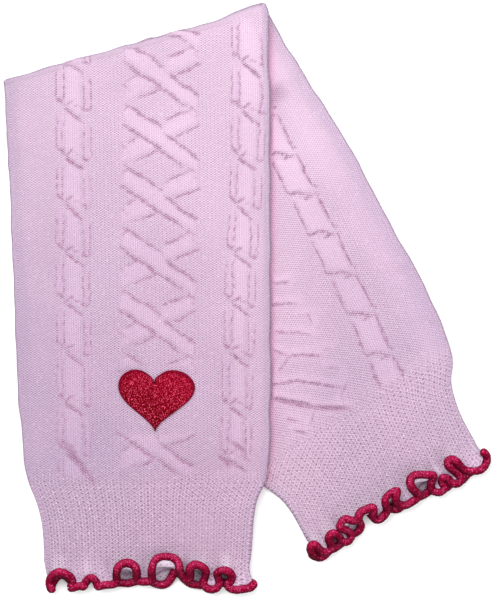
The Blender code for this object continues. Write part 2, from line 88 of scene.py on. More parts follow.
NEAR = Leg(
    name="near",
    heading=NEAR_HEADING,
    side=1,
    sections=[
        (0, 41.0, 38.6), (30, 40.4, 38.5), (60, 39.7, 38.1), (105, 38.6, 37.4), (118, 37.6, 37.1), (124, 37.1, 36.5),
        (130, 35.9, 35.7), (136, 33.6, 33.0), (142, 32.2, 31.8), (148, 31.7, 31.3), (154, 31.6, 30.7),
        (161, 31.6, 29.3),
    ],
    cuff_at=130.5,
    hem_at=161.0,
    upper=[
        (-29.2, 162.2), (-29.9, 160.6), (-29.6, 158.9), (-28.5, 157.5), (-26.7, 156.8), (-24.8, 157.5),
        (-23.4, 158.9), (-23.1, 160.4), (-23.6, 161.8), (-22.4, 161.5), (-20.8, 161.2), (-19.6, 161.5),
        (-19.2, 160.2), (-17.5, 158.7), (-15.8, 160.2), (-15.5, 161.5), (-14.3, 161.2), (-12.5, 161.0),
        (-10.8, 160.9), (-9.8, 160.2), (-9.7, 157.6), (-9.0, 155.4), (-6.6, 154.3), (-4.2, 155.3), (-3.6, 157.4),
        (-3.7, 159.2), (-2.8, 160.1), (-0.8, 160.2), (0.7, 159.8), (0.9, 156.6), (1.7, 154.0), (3.2, 152.9),
        (5.4, 152.7), (7.6, 153.2), (8.9, 154.5), (9.3, 156.8), (10.1, 158.6), (11.2, 159.9), (12.2, 159.5),
        (12.4, 158.1), (12.4, 156.4), (13.6, 155.2), (15.8, 155.7), (17.1, 157.0), (17.0, 158.8), (16.4, 160.3),
        (16.7, 161.9), (18.3, 162.9), (20.1, 162.6), (21.1, 161.2), (20.8, 159.5), (20.4, 158.0), (21.8, 157.1),
        (23.6, 157.3), (24.8, 158.6), (24.6, 160.3), (23.6, 161.6), (24.4, 162.7), (26.4, 163.1), (28.6, 162.8),
        (30.5, 162.4), (31.2, 161.6),
    ],
    lower=[
        (-29.4, 161.1), (-28.7, 159.6), (-27.6, 158.3), (-26.4, 157.9), (-25.1, 158.3), (-24.0, 159.4),
        (-22.8, 160.7), (-21.3, 161.1), (-19.4, 160.5), (-17.5, 158.7), (-15.5, 160.3), (-13.0, 160.9),
        (-10.0, 160.8), (-8.5, 160.7), (-6.5, 160.9), (-4.5, 160.4), (-2.5, 160.0), (0.0, 160.2), (1.2, 160.8),
        (2.6, 161.4), (4.0, 161.5), (5.4, 161.0), (6.6, 159.5), (7.8, 157.5), (9.2, 158.2), (10.6, 159.9),
        (12.2, 161.2), (14.5, 161.7), (16.2, 161.8), (18.0, 161.6), (20.0, 161.4), (22.0, 161.2), (24.0, 161.6),
        (26.0, 161.8), (28.0, 161.5), (30.0, 161.2),
    ],
    pattern=Pattern(64.2, 18.55, 6.6, -0.033),
)
FAR = Leg(
    name="far",
    heading=FAR_HEADING,
    side=-1,
    sections=[
        (0, 39.4, 38.6), (26, 39.4, 38.8), (55, 39.3, 39.8), (82, 38.8, 39.0), (109, 38.2, 38.3), (122, 37.0, 36.4),
        (128, 35.9, 34.8), (133, 33.4, 31.3), (139, 31.0, 29.4), (145, 30.3, 28.5), (158, 30.8, 28.3),
    ],
    cuff_at=127.0,
    hem_at=159.6,
    upper=[
        (-31.0, 157.4), (-30.8, 155.9), (-29.7, 154.8), (-28.8, 155.5), (-28.6, 157.0), (-28.0, 158.4),
        (-26.6, 159.2), (-25.2, 158.7), (-24.6, 157.2), (-24.5, 155.9), (-23.4, 154.9), (-22.1, 155.2),
        (-21.5, 156.8), (-21.4, 158.4), (-20.6, 159.4), (-19.3, 159.4), (-18.2, 158.5), (-18.3, 156.9),
        (-19.3, 155.4), (-19.9, 154.4), (-18.8, 153.5), (-17.2, 153.0), (-16.2, 154.0), (-15.2, 154.9),
        (-14.1, 155.2), (-13.3, 154.4), (-12.3, 153.7), (-10.0, 153.8), (-8.3, 154.2), (-8.8, 155.5), (-9.6, 156.9),
        (-9.2, 158.1), (-7.9, 158.5), (-6.2, 158.0), (-4.9, 157.1), (-4.6, 155.6), (-4.0, 154.1), (-2.4, 153.3),
        (-0.6, 153.2), (0.6, 153.5), (-0.4, 154.6), (-1.3, 155.8), (-1.3, 157.0), (-0.5, 158.2), (1.0, 158.8),
        (2.8, 158.8), (4.5, 158.6), (5.4, 157.6), (5.0, 156.2), (4.8, 154.6), (5.3, 153.0), (6.8, 152.1),
        (8.4, 152.5), (10.4, 153.7), (12.3, 154.9), (11.4, 156.0), (10.2, 157.1), (9.8, 158.6), (10.7, 160.1),
        (12.3, 160.6), (13.4, 159.8), (13.4, 158.2), (14.3, 157.1), (15.5, 158.0), (15.8, 159.4), (16.7, 160.6),
        (18.1, 160.8), (19.0, 159.8), (18.7, 158.0), (18.0, 156.1), (17.6, 154.5), (18.3, 153.4), (19.5, 153.6),
        (20.3, 154.9), (20.6, 156.7), (21.4, 158.5), (23.2, 159.9), (25.4, 160.8), (27.4, 160.2), (28.8, 158.8),
        (29.1, 157.4), (28.7, 156.6),
    ],
    lower=[
        (-29.4, 159.9), (-27.8, 159.9), (-26.2, 159.3), (-24.6, 159.5), (-23.4, 159.4), (-21.8, 159.2),
        (-19.8, 159.1), (-18.0, 158.6), (-16.4, 158.7), (-14.9, 158.3), (-14.0, 157.4), (-14.1, 155.9),
        (-13.2, 154.3), (-11.6, 153.9), (-10.2, 154.7), (-9.7, 156.5), (-9.0, 158.0), (-7.4, 158.2), (-5.8, 157.5),
        (-4.4, 156.8), (-3.2, 158.1), (-1.8, 158.8), (-0.2, 158.4), (1.8, 158.5), (4.0, 158.7), (5.8, 158.9),
        (7.4, 159.0), (9.0, 158.8), (10.6, 159.5), (12.2, 160.2), (14.0, 160.5), (15.4, 160.2), (17.0, 160.4),
        (18.6, 160.9), (19.8, 160.7), (21.2, 160.1), (22.8, 160.0), (24.6, 160.1), (26.4, 159.9), (27.6, 158.9),
        (28.0, 157.6),
    ],
    pattern=Pattern(97.0, 17.7, -7.8, -0.005),
)

# ---- the raised knitting: where the links of each cable end, and the lattice's bands ----
Cable = namedtuple("Cable", "feet course")  # where each link's left strand closes, and (along, middle, half width)
LEFT_CABLE = Cable(
    [1.4, 15.6, 30.4, 44.5, 59.0, 74.0, 88.8, 104.2, 119.2],
    [(0, -19.9, 4.1), (10, -20.1, 4.1), (25, -20.5, 4.1), (55, -20.9, 4.1), (72, -21.3, 4.1), (130, -22.1, 4.1)],
)
RIGHT_CABLE = Cable(
    [3.0, 17.2, 31.5, 45.6, 60.2, 75.0, 90.0, 105.8, 121.2],
    [(0, 33.0, 4.4), (15, 32.8, 4.4), (30, 31.9, 3.9), (56, 30.0, 3.5), (71, 29.1, 3.5), (86, 28.4, 3.5),
     (130, 26.4, 3.5)],
)
FAR_CABLE = Cable(
    [6.6, 20.1, 33.6, 47.0, 60.4, 73.8, 87.4, 100.7, 114.0],
    [(0, 22.4, 3.9), (40, 21.6, 3.9), (74, 19.8, 3.9), (88, 19.0, 3.9), (101, 18.1, 3.9), (114, 16.6, 3.9),
     (130, 15.0, 3.9)],
)
STRAND_STEP = 3.3  # a link's right strand closes this much later
STRAND_HALF = 0.95
LATTICE_HALF = 11.7
LATTICE_LINES = (  # (start, end, strength) of the lines round a crossing, from its middle
    ((-10.6, -10.3), (0.6, -3.1), 1.0), ((2.0, -0.6), (11.4, 6.3), 1.0), ((-11.7, -4.4), (-0.3, 3.4), 1.0),
    ((-0.3, 3.4), (7.2, 8.7), 0.85), ((1.6, -5.3), (9.4, -8.5), 0.75), ((4.8, -0.5), (11.8, -3.4), 0.8),
    ((-10.0, 1.0), (-5.8, -0.9), 0.6), ((-6.9, 6.3), (0.2, 3.4), 0.8), ((-11.7, 2.0), (-9.5, 4.4), 0.6),
    ((8.6, -9.2), (11.0, -7.4), 0.6), ((9.8, -6.8), (11.6, -5.2), 0.5), ((-11.4, -8.0), (-9.8, -9.6), 0.45),
)
FAR_LATTICE_LINES = (  # (start, end, strength) on the far leg, where the lattice lies drawn together
    ((-0.9, 80.8), (3.4, 83.2), 0.9), ((-4.4, 86.1), (2.2, 89.9), 0.9), ((1.5, 93.3), (4.2, 94.6), 0.6),
    ((4.2, 94.6), (3.0, 97.4), 0.5), ((-7.0, 94.1), (1.5, 100.2), 0.7), ((-11.2, 98.0), (-8.0, 102.0), 0.8),
    ((-8.0, 102.0), (0.2, 106.5), 1.0), ((-12.2, 105.2), (-7.0, 102.2), 0.5), ((1.5, 105.6), (4.6, 106.9), 0.5),
    ((-16.8, 106.8), (-8.5, 110.6), 0.9), ((-8.5, 110.6), (-0.8, 116.7), 1.0), ((-0.8, 116.7), (1.7, 118.3), 0.8),
    ((0.5, 110.8), (4.3, 113.4), 0.5), ((4.3, 113.4), (0.8, 114.6), 0.5), ((-18.5, 111.0), (-11.5, 115.8), 1.0),
    ((-11.5, 115.8), (-8.3, 119.8), 1.0), ((-8.3, 119.8), (-0.2, 124.8), 1.0), ((-12.0, 123.0), (-8.0, 120.3), 0.6),
    ((0.5, 120.6), (3.6, 117.9), 0.6), ((-17.5, 118.8), (-14.6, 120.6), 0.6), ((-17.2, 122.4), (-14.4, 125.7), 0.7),
)
PUFF = 0.5  # height of the raised knitting
GROOVE = 0.3  # depth of the lines between its parts

# creases on each leg's upper face and underside: their ends (across, along), half width, depth, and how high the
# cloth stands beside them
CREASES = {
    "near": [
        ((-25.4, 117.5), (-16.2, 130.6), 1.0, 0.55, 0.35), ((21.5, 122.5), (25.2, 126.0), 0.8, 0.4, 0.25),
        ((25.5, 118.5), (29.4, 121.5), 0.8, 0.35, 0.25), ((-37.5, 3.5), (-25.0, 6.0), 3.2, 0.25, 0.15),
        ((24.0, 2.0), (36.5, 7.5), 2.4, 0.3, 0.2),
    ],
    "far": [
        ((25.0, 31.9), (38.4, 34.3), 2.2, 0.45, 0.4), ((-18.0, 111.2), (-8.6, 119.6), 0.8, 0.4, 0.3),
        ((-8.6, 119.6), (0.2, 125.0), 0.8, 0.45, 0.3), ((31.5, 96.0), (38.5, 101.0), 1.7, 0.35, 0.3),
        ((32.5, 47.0), (39.0, 50.5), 2.0, 0.3, 0.2), ((30.0, 112.0), (37.0, 119.0), 1.6, 0.3, 0.2),
        ((22.0, 60.0), (34.5, 55.5), 4.0, 0.2, 0.15),
    ],
    "near under": [
        ((-30.0, 22.0), (-12.0, 34.0), 2.6, 0.35, 0.0), ((8.0, 70.0), (30.0, 60.0), 3.0, 0.3, 0.0),
        ((-34.0, 108.0), (-20.0, 116.0), 2.4, 0.35, 0.0), ((12.0, 120.0), (27.0, 135.0), 2.2, 0.3, 0.0),
    ],
    "far under": [
        ((-28.0, 48.0), (-6.0, 38.0), 2.8, 0.35, 0.0), ((4.0, 92.0), (26.0, 104.0), 2.6, 0.35, 0.0),
        ((-32.0, 118.0), (-14.0, 133.0), 2.2, 0.3, 0.0), ((14.0, 20.0), (34.0, 12.0), 3.0, 0.3, 0.0),
    ],
}
PINK_BOUNCE_WIDTH = 1.7  # painted pink bounce light lies on the far leg's cloth this close to the near leg's edge
DIMPLE_SHADE = (6.8, 61.6)  # on the floor plan: the middle of the painted shadow where the far leg's cloth sinks in, beside the near leg's edge


# ---- small sums ----
def smooth(x):
    """0 below 0, 1 above 1, and an even ease between."""
    x = np.clip(x, 0.0, 1.0)
    return x * x * (3 - 2 * x)


def through(x, y, place):
    """The height at places of a smooth curve through points."""
    low, high = np.arange(len(x)) - 1, np.arange(len(x)) + 1
    low[0], high[-1] = 0, len(x) - 1
    slope = (y[high] - y[low]) / (x[high] - x[low])
    place = np.clip(place, x[0], x[-1])
    i = np.clip(np.searchsorted(x, place), 1, len(x) - 1)
    span = x[i] - x[i - 1]
    u = (place - x[i - 1]) / span
    start = (1 + 2 * u) * (1 - u) ** 2 * y[i - 1] + u * (1 - u) ** 2 * span * slope[i - 1]
    return start + u * u * (3 - 2 * u) * y[i] + u * u * (u - 1) * span * slope[i]


def side_reach(leg, along, side):
    """How far a leg reaches to its LEFT or RIGHT."""
    sections = np.array(leg.sections).T
    return through(sections[0], sections[side], along)


def flat_half(leg, along, right):
    """Half the width of the tube's flat part, to the left or right of its axis."""
    return np.where(right, side_reach(leg, along, RIGHT), side_reach(leg, along, LEFT)) - HALF


def placed(x, y, z):
    """Points from their coordinates."""
    return np.stack(np.broadcast_arrays(x, y, z), axis=-1)


def closed(values, axis=0):
    """Values round a loop, with the first once more at the end."""
    return np.concatenate([values, values.take([0], axis)], axis)


def segment_distance(x, y, start, end):
    """Distance of points from a straight segment, how far along it they are from 0 to 1, and on which side."""
    (ax, ay), (bx, by) = start, end
    dx, dy = bx - ax, by - ay
    t = np.clip(((x - ax) * dx + (y - ay) * dy) / (dx * dx + dy * dy), 0, 1)
    return np.hypot(x - ax - t * dx, y - ay - t * dy), t, (x - ax) * dy - (y - ay) * dx


def bumps(x, y, size, seed):
    """Soft uneven bumps between -1 and 1: a few waves in directions of their own."""
    random = np.random.default_rng(seed)
    total = 0.0
    for _ in range(6):
        angle, phase, scale = random.uniform(0, math.pi), random.uniform(0, 2 * math.pi), random.uniform(0.7, 1.5)
        total = total + np.sin((x * math.cos(angle) + y * math.sin(angle)) * 2 * math.pi * scale / size + phase)
    return total / 3.5


def spaced(first, last, step):
    """Evenly spaced numbers from first to last, about step apart."""
    return np.linspace(first, last, max(1, round(abs(last - first) / step)) + 1)


def heart_outline(count):
    """Points round a heart one wide and one high, centred, its tip at the bottom."""
    t = np.linspace(0, 2 * math.pi, count, endpoint=False)
    x = 16 * np.sin(t) ** 3
    y = 13 * np.cos(t) - 5 * np.cos(2 * t) - 2 * np.cos(3 * t) - np.cos(4 * t)
    return x / 32, (y + 2.55) / 28.9


def turned(heading, across, along):
    """A leg's (across, along) in the directions of the floor plan."""
    c, s = math.cos(heading), math.sin(heading)
    return c * across + s * along, s * across - c * along


def find_fold_centre():
    """Where the middle of the fold lies: the box of the heart, whose place on the near leg is known, says it."""
    low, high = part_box("embroidered_heart")
    x, y = heart_outline(36)
    x, y = turned(NEAR_HEADING, HEART_PLACE[0] + x * HEART_WIDTH, HEART_PLACE[1] - y * HEART_HEIGHT)
    return (low.x + high.x) / 2 / MM - (x.min() + x.max()) / 2, (low.y + high.y) / 2 / MM - (y.min() + y.max()) / 2


FOLD_X, FOLD_Y = find_fold_centre()


def plan(leg, across, along):
    """The place on the floor plan of a place on a leg."""
    x, y = turned(leg.heading, across, along)
    return FOLD_X + x, FOLD_Y + y


def on_leg(leg, x, y):
    """(across, along) of a place on the floor plan."""
    c, s = math.cos(leg.heading), math.sin(leg.heading)
    return (x - FOLD_X) * c + (y - FOLD_Y) * s, (x - FOLD_X) * s - (y - FOLD_Y) * c


def outside_near_leg(x, y):
    """How far a place on the plan lies to the right of the near leg."""
    across, along = on_leg(NEAR, x, y)
    return across - side_reach(NEAR, along, RIGHT)


def slant_of(leg, along):
    """Slope of a leg's rings: along the fold there, and square to the leg at its cuff."""
    return leg.side * math.tan(FOLD_HALF_ANGLE) * (1 - smooth(along / SLANT_FADES))


def near_floor(x, y, along):
    """Height of the near leg's underside: on the far leg, and down on the floor beside it."""
    across, _ = on_leg(FAR, x, y)
    carried = smooth(1 + (across + FAR.sections[0][LEFT]) / DROP)
    held = 1 - smooth(along / HOLD)
    return (LEG_HEIGHT + LAYER_GAP) * (1 - (1 - carried) * (1 - held)) + FOLD_SLACK * held


def floor_under(leg, x, y, along):
    """Height of a leg's underside."""
    return near_floor(x, y, along) if leg is NEAR else np.zeros(np.broadcast(x, along).shape)


# ---- the raised knitting ----
def rounded_box(x, y, half_x, half_y, corner):
    """Signed distance from a rounded rectangle: negative inside it."""
    dx, dy = np.abs(x) - half_x + corner, np.abs(y) - half_y + corner
    return np.hypot(np.maximum(dx, 0), np.maximum(dy, 0)) + np.minimum(np.maximum(dx, dy), 0) - corner


def groove(distance, width):
    """A narrow groove, 1 on its line."""
    return np.exp(-((distance / width) ** 2))


class Relief:
    """Heights, grooves and ribbed strands, gathered for every point of a face."""

    def __init__(self, shape):
        self.height, self.valley, self.ladder = np.zeros((3, *shape))

    def add(self, height=0.0, valley=0.0, ladder=0.0):
        """Lays values over those gathered so far: at each point the higher one counts."""
        self.height = np.maximum(self.height, height)
        self.valley = np.maximum(self.valley, valley)
        self.ladder = np.maximum(self.ladder, ladder)


def warped(x, along, seed, reach=0.4):
    """The place a little astray, so that no line of the knitting runs quite straight."""
    fine = 0.7 * reach
    return (
        x + reach * bumps(x, along, 11.0, seed) + fine * bumps(x, along, 2.2, seed + 50),
        along + reach * bumps(x, along, 9.0, seed + 1) + fine * bumps(x, along, 1.9, seed + 51),
    )


def add_lines(relief, x, along, lines, width):
    """Grooves along straight lines, given as (start, end, strength), tapering at their ends."""
    for start, end, strength in lines:
        distance, t, _ = segment_distance(x, along, start, end)
        faded = 0.9 + 0.3 * bumps(x, along, 4.5, 61) + 0.2 * bumps(x, along, 1.7, 62)
        relief.add(valley=strength * faded * (0.55 + 0.45 * np.sin(math.pi * t) ** 0.5) * groove(distance, width))


def add_lattice(relief, x, along, pattern):
    """Bands that cross in pairs: the one running down to the right lies on top, and steps down as it crosses."""
    x, along = warped(x, along, 3)
    turns = np.floor((along - pattern.lattice_at) / pattern.lattice_repeat + 0.5)
    sides = smooth((LATTICE_HALF - np.abs(x)) / 1.3)
    for step in (-1, 0, 1):
        y = along - pattern.lattice_at - (turns + step) * pattern.lattice_repeat
        right = smooth((x - 0.4) / 1.8)
        top = (1 - right) * (0.64 * x - 3.5) + right * (0.72 * x - 2.0)
        inside = np.minimum(y - top, 0.7 * x + 3.6 - y)
        high_edge = (1 - right) * (-0.45 * x - 3.5) + right * (-0.41 * x - 4.6)
        low_edge = (1 - right) * (-0.41 * x + 3.5) + right * (-0.41 * x + 1.4)
        under = 0.75 * smooth(np.minimum(y - high_edge, low_edge - y) / 2.1)
        covered = smooth((inside + 0.4) / 0.6)
        relief.add(sides * np.maximum(smooth(inside / 2.1), under * (1 - covered)))
        add_lines(relief, x, y, LATTICE_LINES, 0.5)


def add_far_lattice(relief, x, along):
    """The same lattice drawn together, so that its bands lie close and its lines run almost level."""
    x, along = warped(x, along, 3, 0.3)
    for start, end, strength in FAR_LATTICE_LINES:
        distance, _, side = segment_distance(x, along, start, end)
        relief.add(height=1.1 * strength * smooth((3.6 - distance) / 3.0) * np.where(side > 0, 1.0, 0.35))
    add_lines(relief, x, along, FAR_LATTICE_LINES, 0.48)


def links_of(feet):
    """(start, foot) of each link of a cable: one starts where the one before it closes."""
    return zip([2 * feet[0] - feet[1], *feet], [*feet, 2 * feet[-1] - feet[-2]])


def along_cable(cable, across, along):
    """The distance from a cable's middle, and half its width there."""
    places, middle, half = np.array(cable.course).T
    return across - np.interp(along, places, middle), np.interp(along, places, half)


def add_cable(relief, across, along, cable):
    """A chain of puffed links between two ribbed strands, each link stepping down to the right into the next."""
    x, reach = along_cable(cable, across, along)
    x, along = warped(x, along, 13, 0.3)
    inner = reach - STRAND_HALF
    slope, drop = 0.76, 3.6
    for count, (start, foot) in enumerate(links_of(cable.feet)):
        stray = 0.35 * math.sin(2.4 * count)
        strands = ((-reach, start + 2.4, foot), (reach, start + STRAND_STEP + 2.4, foot + STRAND_STEP))
        for place, top, end in strands:
            half = STRAND_HALF + 0.12 * math.sin(3.1 * count + top)
            strand = rounded_box(x - place - 0.2 * stray, along - (top + end) / 2, half, (end - top) / 2, 0.9)
            ragged = 0.56 + 0.3 * bumps(x, along, 2.3, 63)
            edge = groove(strand, 0.32) * (0.15 + 0.85 * smooth((along - top) / 4)) * ragged
            relief.add(0.22 * smooth(-strand / 0.8), edge, smooth(-strand / 0.5))
        lower, upper = along - foot - drop - slope * x, start + drop + slope * x - along
        panel = np.maximum(np.abs(x) - inner, np.maximum(lower, upper) / 1.27)
        relief.add((0.9 + 0.2 * stray) * smooth(-panel / 1.6))
        puff, _, _ = segment_distance(x, along, (-1.4, foot - 0.6), (0.6, foot - 1.2))
        relief.add(1.15 * smooth((1.7 - puff) / 1.7))
        lines = (
            ((-4.7, foot - 0.9), (-3.0, foot + 0.9), 1.0),
            ((-2.5, foot + 2.1), (2.9, foot + 6.2 + stray), 1.0),
            ((-2.5, foot + 1.3 - stray), (-0.2, foot - 0.1), 0.75),
            ((2.5, foot + 2.3), (4.4, foot + 3.2), 0.75),
            ((-0.4, foot + 1.0 + stray), (2.2, foot + 1.9), 0.5),
        )
        add_lines(relief, x, along, lines, 0.48)


def add_far_cable(relief, across, along, cable):
    """The far leg's cable lies stretched: leaning links, each with a crisp edge and a small curl at its step."""
    x, half = along_cable(cable, across, along)
    x, along = warped(x, along, 17, 0.3)
    half = half.mean()
    for count, (start, foot) in enumerate(links_of(cable.feet)):
        stray = 0.4 * math.sin(1.9 * count + 1)
        lines = (
            ((-half + 0.3, start + 2.2), (-half - 0.05, foot - 0.8), 0.9),
            ((-half - 0.05, foot - 0.8), (-half + 0.8, foot + 0.2), 1.0),
            ((-half + 0.8, foot + 0.2), (-0.9, foot + 0.6), 1.0),
            ((-0.9, foot + 0.6), (0.8, foot + 1.8 + stray), 1.0),
            ((0.8, foot + 1.8 + stray), (2.4, foot + 3.9), 0.8),
            ((half, start + 3.9), (half - 0.2, foot + 0.9), 1.0),
            ((half - 0.2, foot + 0.9), (half + 0.9, foot + 2.2), 0.8),
            ((-0.2, foot + 3.1), (1.3, foot + 3.4 + stray), 1.0),
            ((1.3, foot + 3.4 + stray), (half - 0.3, foot + 3.6), 0.6),
        )
        add_lines(relief, x, along, lines, 0.4)
        lower, upper = along - foot - 1.8 - 0.6 * x, start + 2.6 + 0.6 * x - along
        panel = np.maximum(np.abs(x) - half, np.maximum(lower, upper) / 1.2)
        relief.add(0.95 * smooth(-panel / 1.5))
        strand = np.abs(x - half + 0.6) - 0.75
        relief.add(ladder=smooth(-strand / 0.4) * smooth((along - start - 3) / 1.5) * smooth((foot - along) / 1.5))


def creases_on(face, across, along):
    """Height of the creases listed for a leg's upper face, or for its underside, and the painted shade in them."""
    height, valley = np.zeros(across.shape), np.zeros(across.shape)
    for start, end, width, depth, shoulder in CREASES[face]:
        distance, t, side = segment_distance(across, along, start, end)
        strength = np.sqrt(np.sin(math.pi * (0.06 + 0.88 * t)))
        line = groove(distance, width) * strength
        lip = groove(distance - 2.0 * width, 1.1 * width) * strength * (side > 0)
        height += shoulder * lip - depth * line
        # painted shade along the narrower creases
        valley = np.maximum(valley, line * smooth((1.7 - width) / 0.9))
    return height, valley


# ---- meshes ----
# numbers painted on the points, for the materials; several of them lay painted light and shade into the colours
MARKS = ("valley", "ladder", "raised", "coarse", "blush", "light", "edge", "inside", "pink_bounce_light")


def put(name, data):
    """A new object in the scene."""
    made = bpy.data.objects.new(name, data)
    bpy.context.scene.collection.objects.link(made)
    return made


class Shell:
    """Points and faces of one piece, gathered part by part, with a (stitch, row) of the knitting at each corner."""

    def __init__(self):
        self.points, self.faces, self.knit, self.marks = [], [], [], []
        self.count = 0

    def add_points(self, points, **marks):
        """Adds an array of points of any shape, with marks in its shape. Returns the points' numbers."""
        shape = points.shape[:-1]
        size = int(np.prod(shape))
        self.points.append(points.reshape(-1, 3))
        self.marks.append([np.broadcast_to(marks.get(mark, 0.0), shape).ravel() for mark in MARKS])
        self.count += size
        return np.arange(self.count - size, self.count).reshape(shape)

    def add_grid(self, numbers, stitch, row, wrap=False):
        """Quads over a grid of point numbers, rows by columns. stitch has one column more than a grid that wraps."""
        if wrap:
            numbers = closed(numbers, 1)
        knit = np.stack(np.broadcast_arrays(stitch, row, numbers)[:2], axis=-1)
        low, high = slice(None, -1), slice(1, None)
        corners = [(low, low), (low, high), (high, high), (high, low)]
        self.faces.append(np.stack([numbers[c].ravel() for c in corners], axis=1))
        self.knit.append(np.stack([knit[c].reshape(-1, 2) for c in corners], axis=1).reshape(-1, 2))

    def zip_loops(self, first, first_keys, second, second_keys, turn, row):
        """Triangles between two loops with their own numbers of points, paired by their keys."""
        i = j = 0
        triangles, knit = [], []
        while i < len(first) or j < len(second):
            next_first = first_keys[i + 1] if i + 1 < len(first) else first_keys[0] + turn
            next_second = second_keys[j + 1] if j + 1 < len(second) else second_keys[0] + turn
            a, b = first[i % len(first)], second[j % len(second)]
            if j >= len(second) or (i < len(first) and next_first <= next_second):
                i += 1
                triangles.append((a, first[i % len(first)], b))
            else:
                j += 1
                triangles.append((a, second[j % len(second)], b))
            knit += [(min(next_first, next_second) * STITCH_HALF, row)] * 3
        self.faces.append(np.array(triangles))
        self.knit.append(np.array(knit, float))

    def make(self, name, material):
        """The closed, smooth-shaded object, in metres."""
        mesh = bpy.data.meshes.new(name)
        points = np.concatenate(self.points) * MM
        points[:, 2] = np.maximum(points[:, 2], 0.0)
        corners = np.concatenate([faces.ravel() for faces in self.faces])
        sizes = np.concatenate([np.full(len(faces), faces.shape[1]) for faces in self.faces])
        mesh.vertices.add(len(points))
        mesh.vertices.foreach_set("co", points.astype(np.float32).ravel())
        mesh.loops.add(len(corners))
        mesh.loops.foreach_set("vertex_index", corners.astype(np.int32))
        mesh.polygons.add(len(sizes))
        mesh.polygons.foreach_set("loop_start", np.concatenate([[0], np.cumsum(sizes)[:-1]]).astype(np.int32))
        mesh.update(calc_edges=True)
        knit = mesh.uv_layers.new(name="knit")
        knit.data.foreach_set("uv", np.concatenate(self.knit).astype(np.float32).ravel())
        for values, mark in zip(np.concatenate(self.marks, axis=1), MARKS):
            mesh.attributes.new(mark, "FLOAT", "POINT").data.foreach_set("value", values.astype(np.float32))
        shape = bmesh.new()
        shape.from_mesh(mesh)
        bmesh.ops.recalc_face_normals(shape, faces=shape.faces)
        shape.to_mesh(mesh)
        shape.free()
        mesh.shade_smooth()
        mesh.materials.append(material)
        return put(name, mesh)


def unit(vectors):
    """The vectors' directions."""
    return vectors / np.linalg.norm(vectors, axis=-1, keepdims=True)


def arc_lengths(points):
    """Length along each row of a grid of points, which closes on itself, from its first column."""
    steps = np.linalg.norm(np.diff(closed(points, 1), axis=1), axis=-1)
    return np.concatenate([np.zeros((len(points), 1)), np.cumsum(steps, axis=1)], axis=1)


# ---- the knitted body ----
FINE, PLAIN, HIDDEN = 0.46, 0.9, 2.4  # spacing of the columns on raised knitting, plain knitting and hidden cloth
ROW_STEP = 0.55
RIM = 0.05  # a ring this close to each end keeps the end's edge crisp
SIDE_STEPS = 9  # points round a rounded side
EDGE_SINK = 0.3  # the flat faces go down this much towards the rounded sides
EDGE_WIDTH = 8.0  # over which they do
EDGE_WAVER = 0.22  # the sides do not run quite straight
FOLD_LEFT, FOLD_RIGHT = 0.62, 1.17  # how far the fold stands out on its left and right, as a share of its radius


def face_columns(shown_from):
    """Columns across a face: close together where raised knitting shows."""
    edges = [-STITCH_HALF, -31.4, -18.9, -12.6, 12.6, 18.9, 31.4, STITCH_HALF]
    made = [np.array([-STITCH_HALF])]
    for low, high, step in zip(edges, edges[1:], [PLAIN, FINE, PLAIN, FINE, PLAIN, FINE, PLAIN]):
        made.append(spaced(low, high, step if high > shown_from else HIDDEN)[1:])
    return np.concatenate(made)


def turning(pattern, along, stitch):
    """How far the flattened tube has turned at a column of stitches: nothing at its edges."""
    return (pattern.drift_top + pattern.drift_rate * along) * (1 - (stitch / STITCH_HALF) ** 4)


def across_of(leg, pattern, along, stitch):
    """Where a column of stitches lies across a leg, with the turn of a pattern."""
    width = flat_half(leg, along, stitch > 0)
    width = width + EDGE_WAVER * bumps(np.sign(stitch) * 40, along, 15.0, 43) * smooth((leg.cuff_at - along) / 10)
    return stitch / STITCH_HALF * width + turning(pattern, along, stitch)


def edge_sink(share):
    """How far a face goes down near its edges. share is 0 in its middle and 1 at its edge."""
    return EDGE_SINK * smooth((np.abs(share) * STITCH_HALF - STITCH_HALF + EDGE_WIDTH) / EDGE_WIDTH)


def fold_ripple(across):
    """How far the fold's edge stands out or in, as a share of its radius: the raised knitting makes it uneven."""
    return 0.09 * np.sin(across / 1.55) * np.exp(-(((across - 6.6) / 11) ** 4)) + 0.05 * bumps(across, 0.0, 9.0, 41)


def tube_points(leg, ring, turn, across, outward):
    """Points of the tube's rings. outward is the distance from its middle plane, to the outside of the fold."""
    along = ring - across * slant_of(leg, ring)
    x, y = plan(leg, across, along)
    if leg is FAR:
        return placed(x, y, HALF - outward), along
    tilt = NEAR_HEADING + FOLD_HALF_ANGLE
    axis = LEG_HEIGHT + (LAYER_GAP + FOLD_SLACK) / 2
    radius = HALF + (LAYER_GAP + FOLD_SLACK) / 2 + outward
    stands_out = FOLD_LEFT + (FOLD_RIGHT - FOLD_LEFT) * smooth((across - 22) / 16) + fold_ripple(across)
    over = radius * np.sin(turn) * stands_out
    z = np.where(turn > 0, axis + radius * np.cos(turn), near_floor(x, y, ring) + HALF + outward)
    return placed(x - math.sin(tilt) * over, y + math.cos(tilt) * over, z), along - turn * (LEG_HEIGHT + HALF)


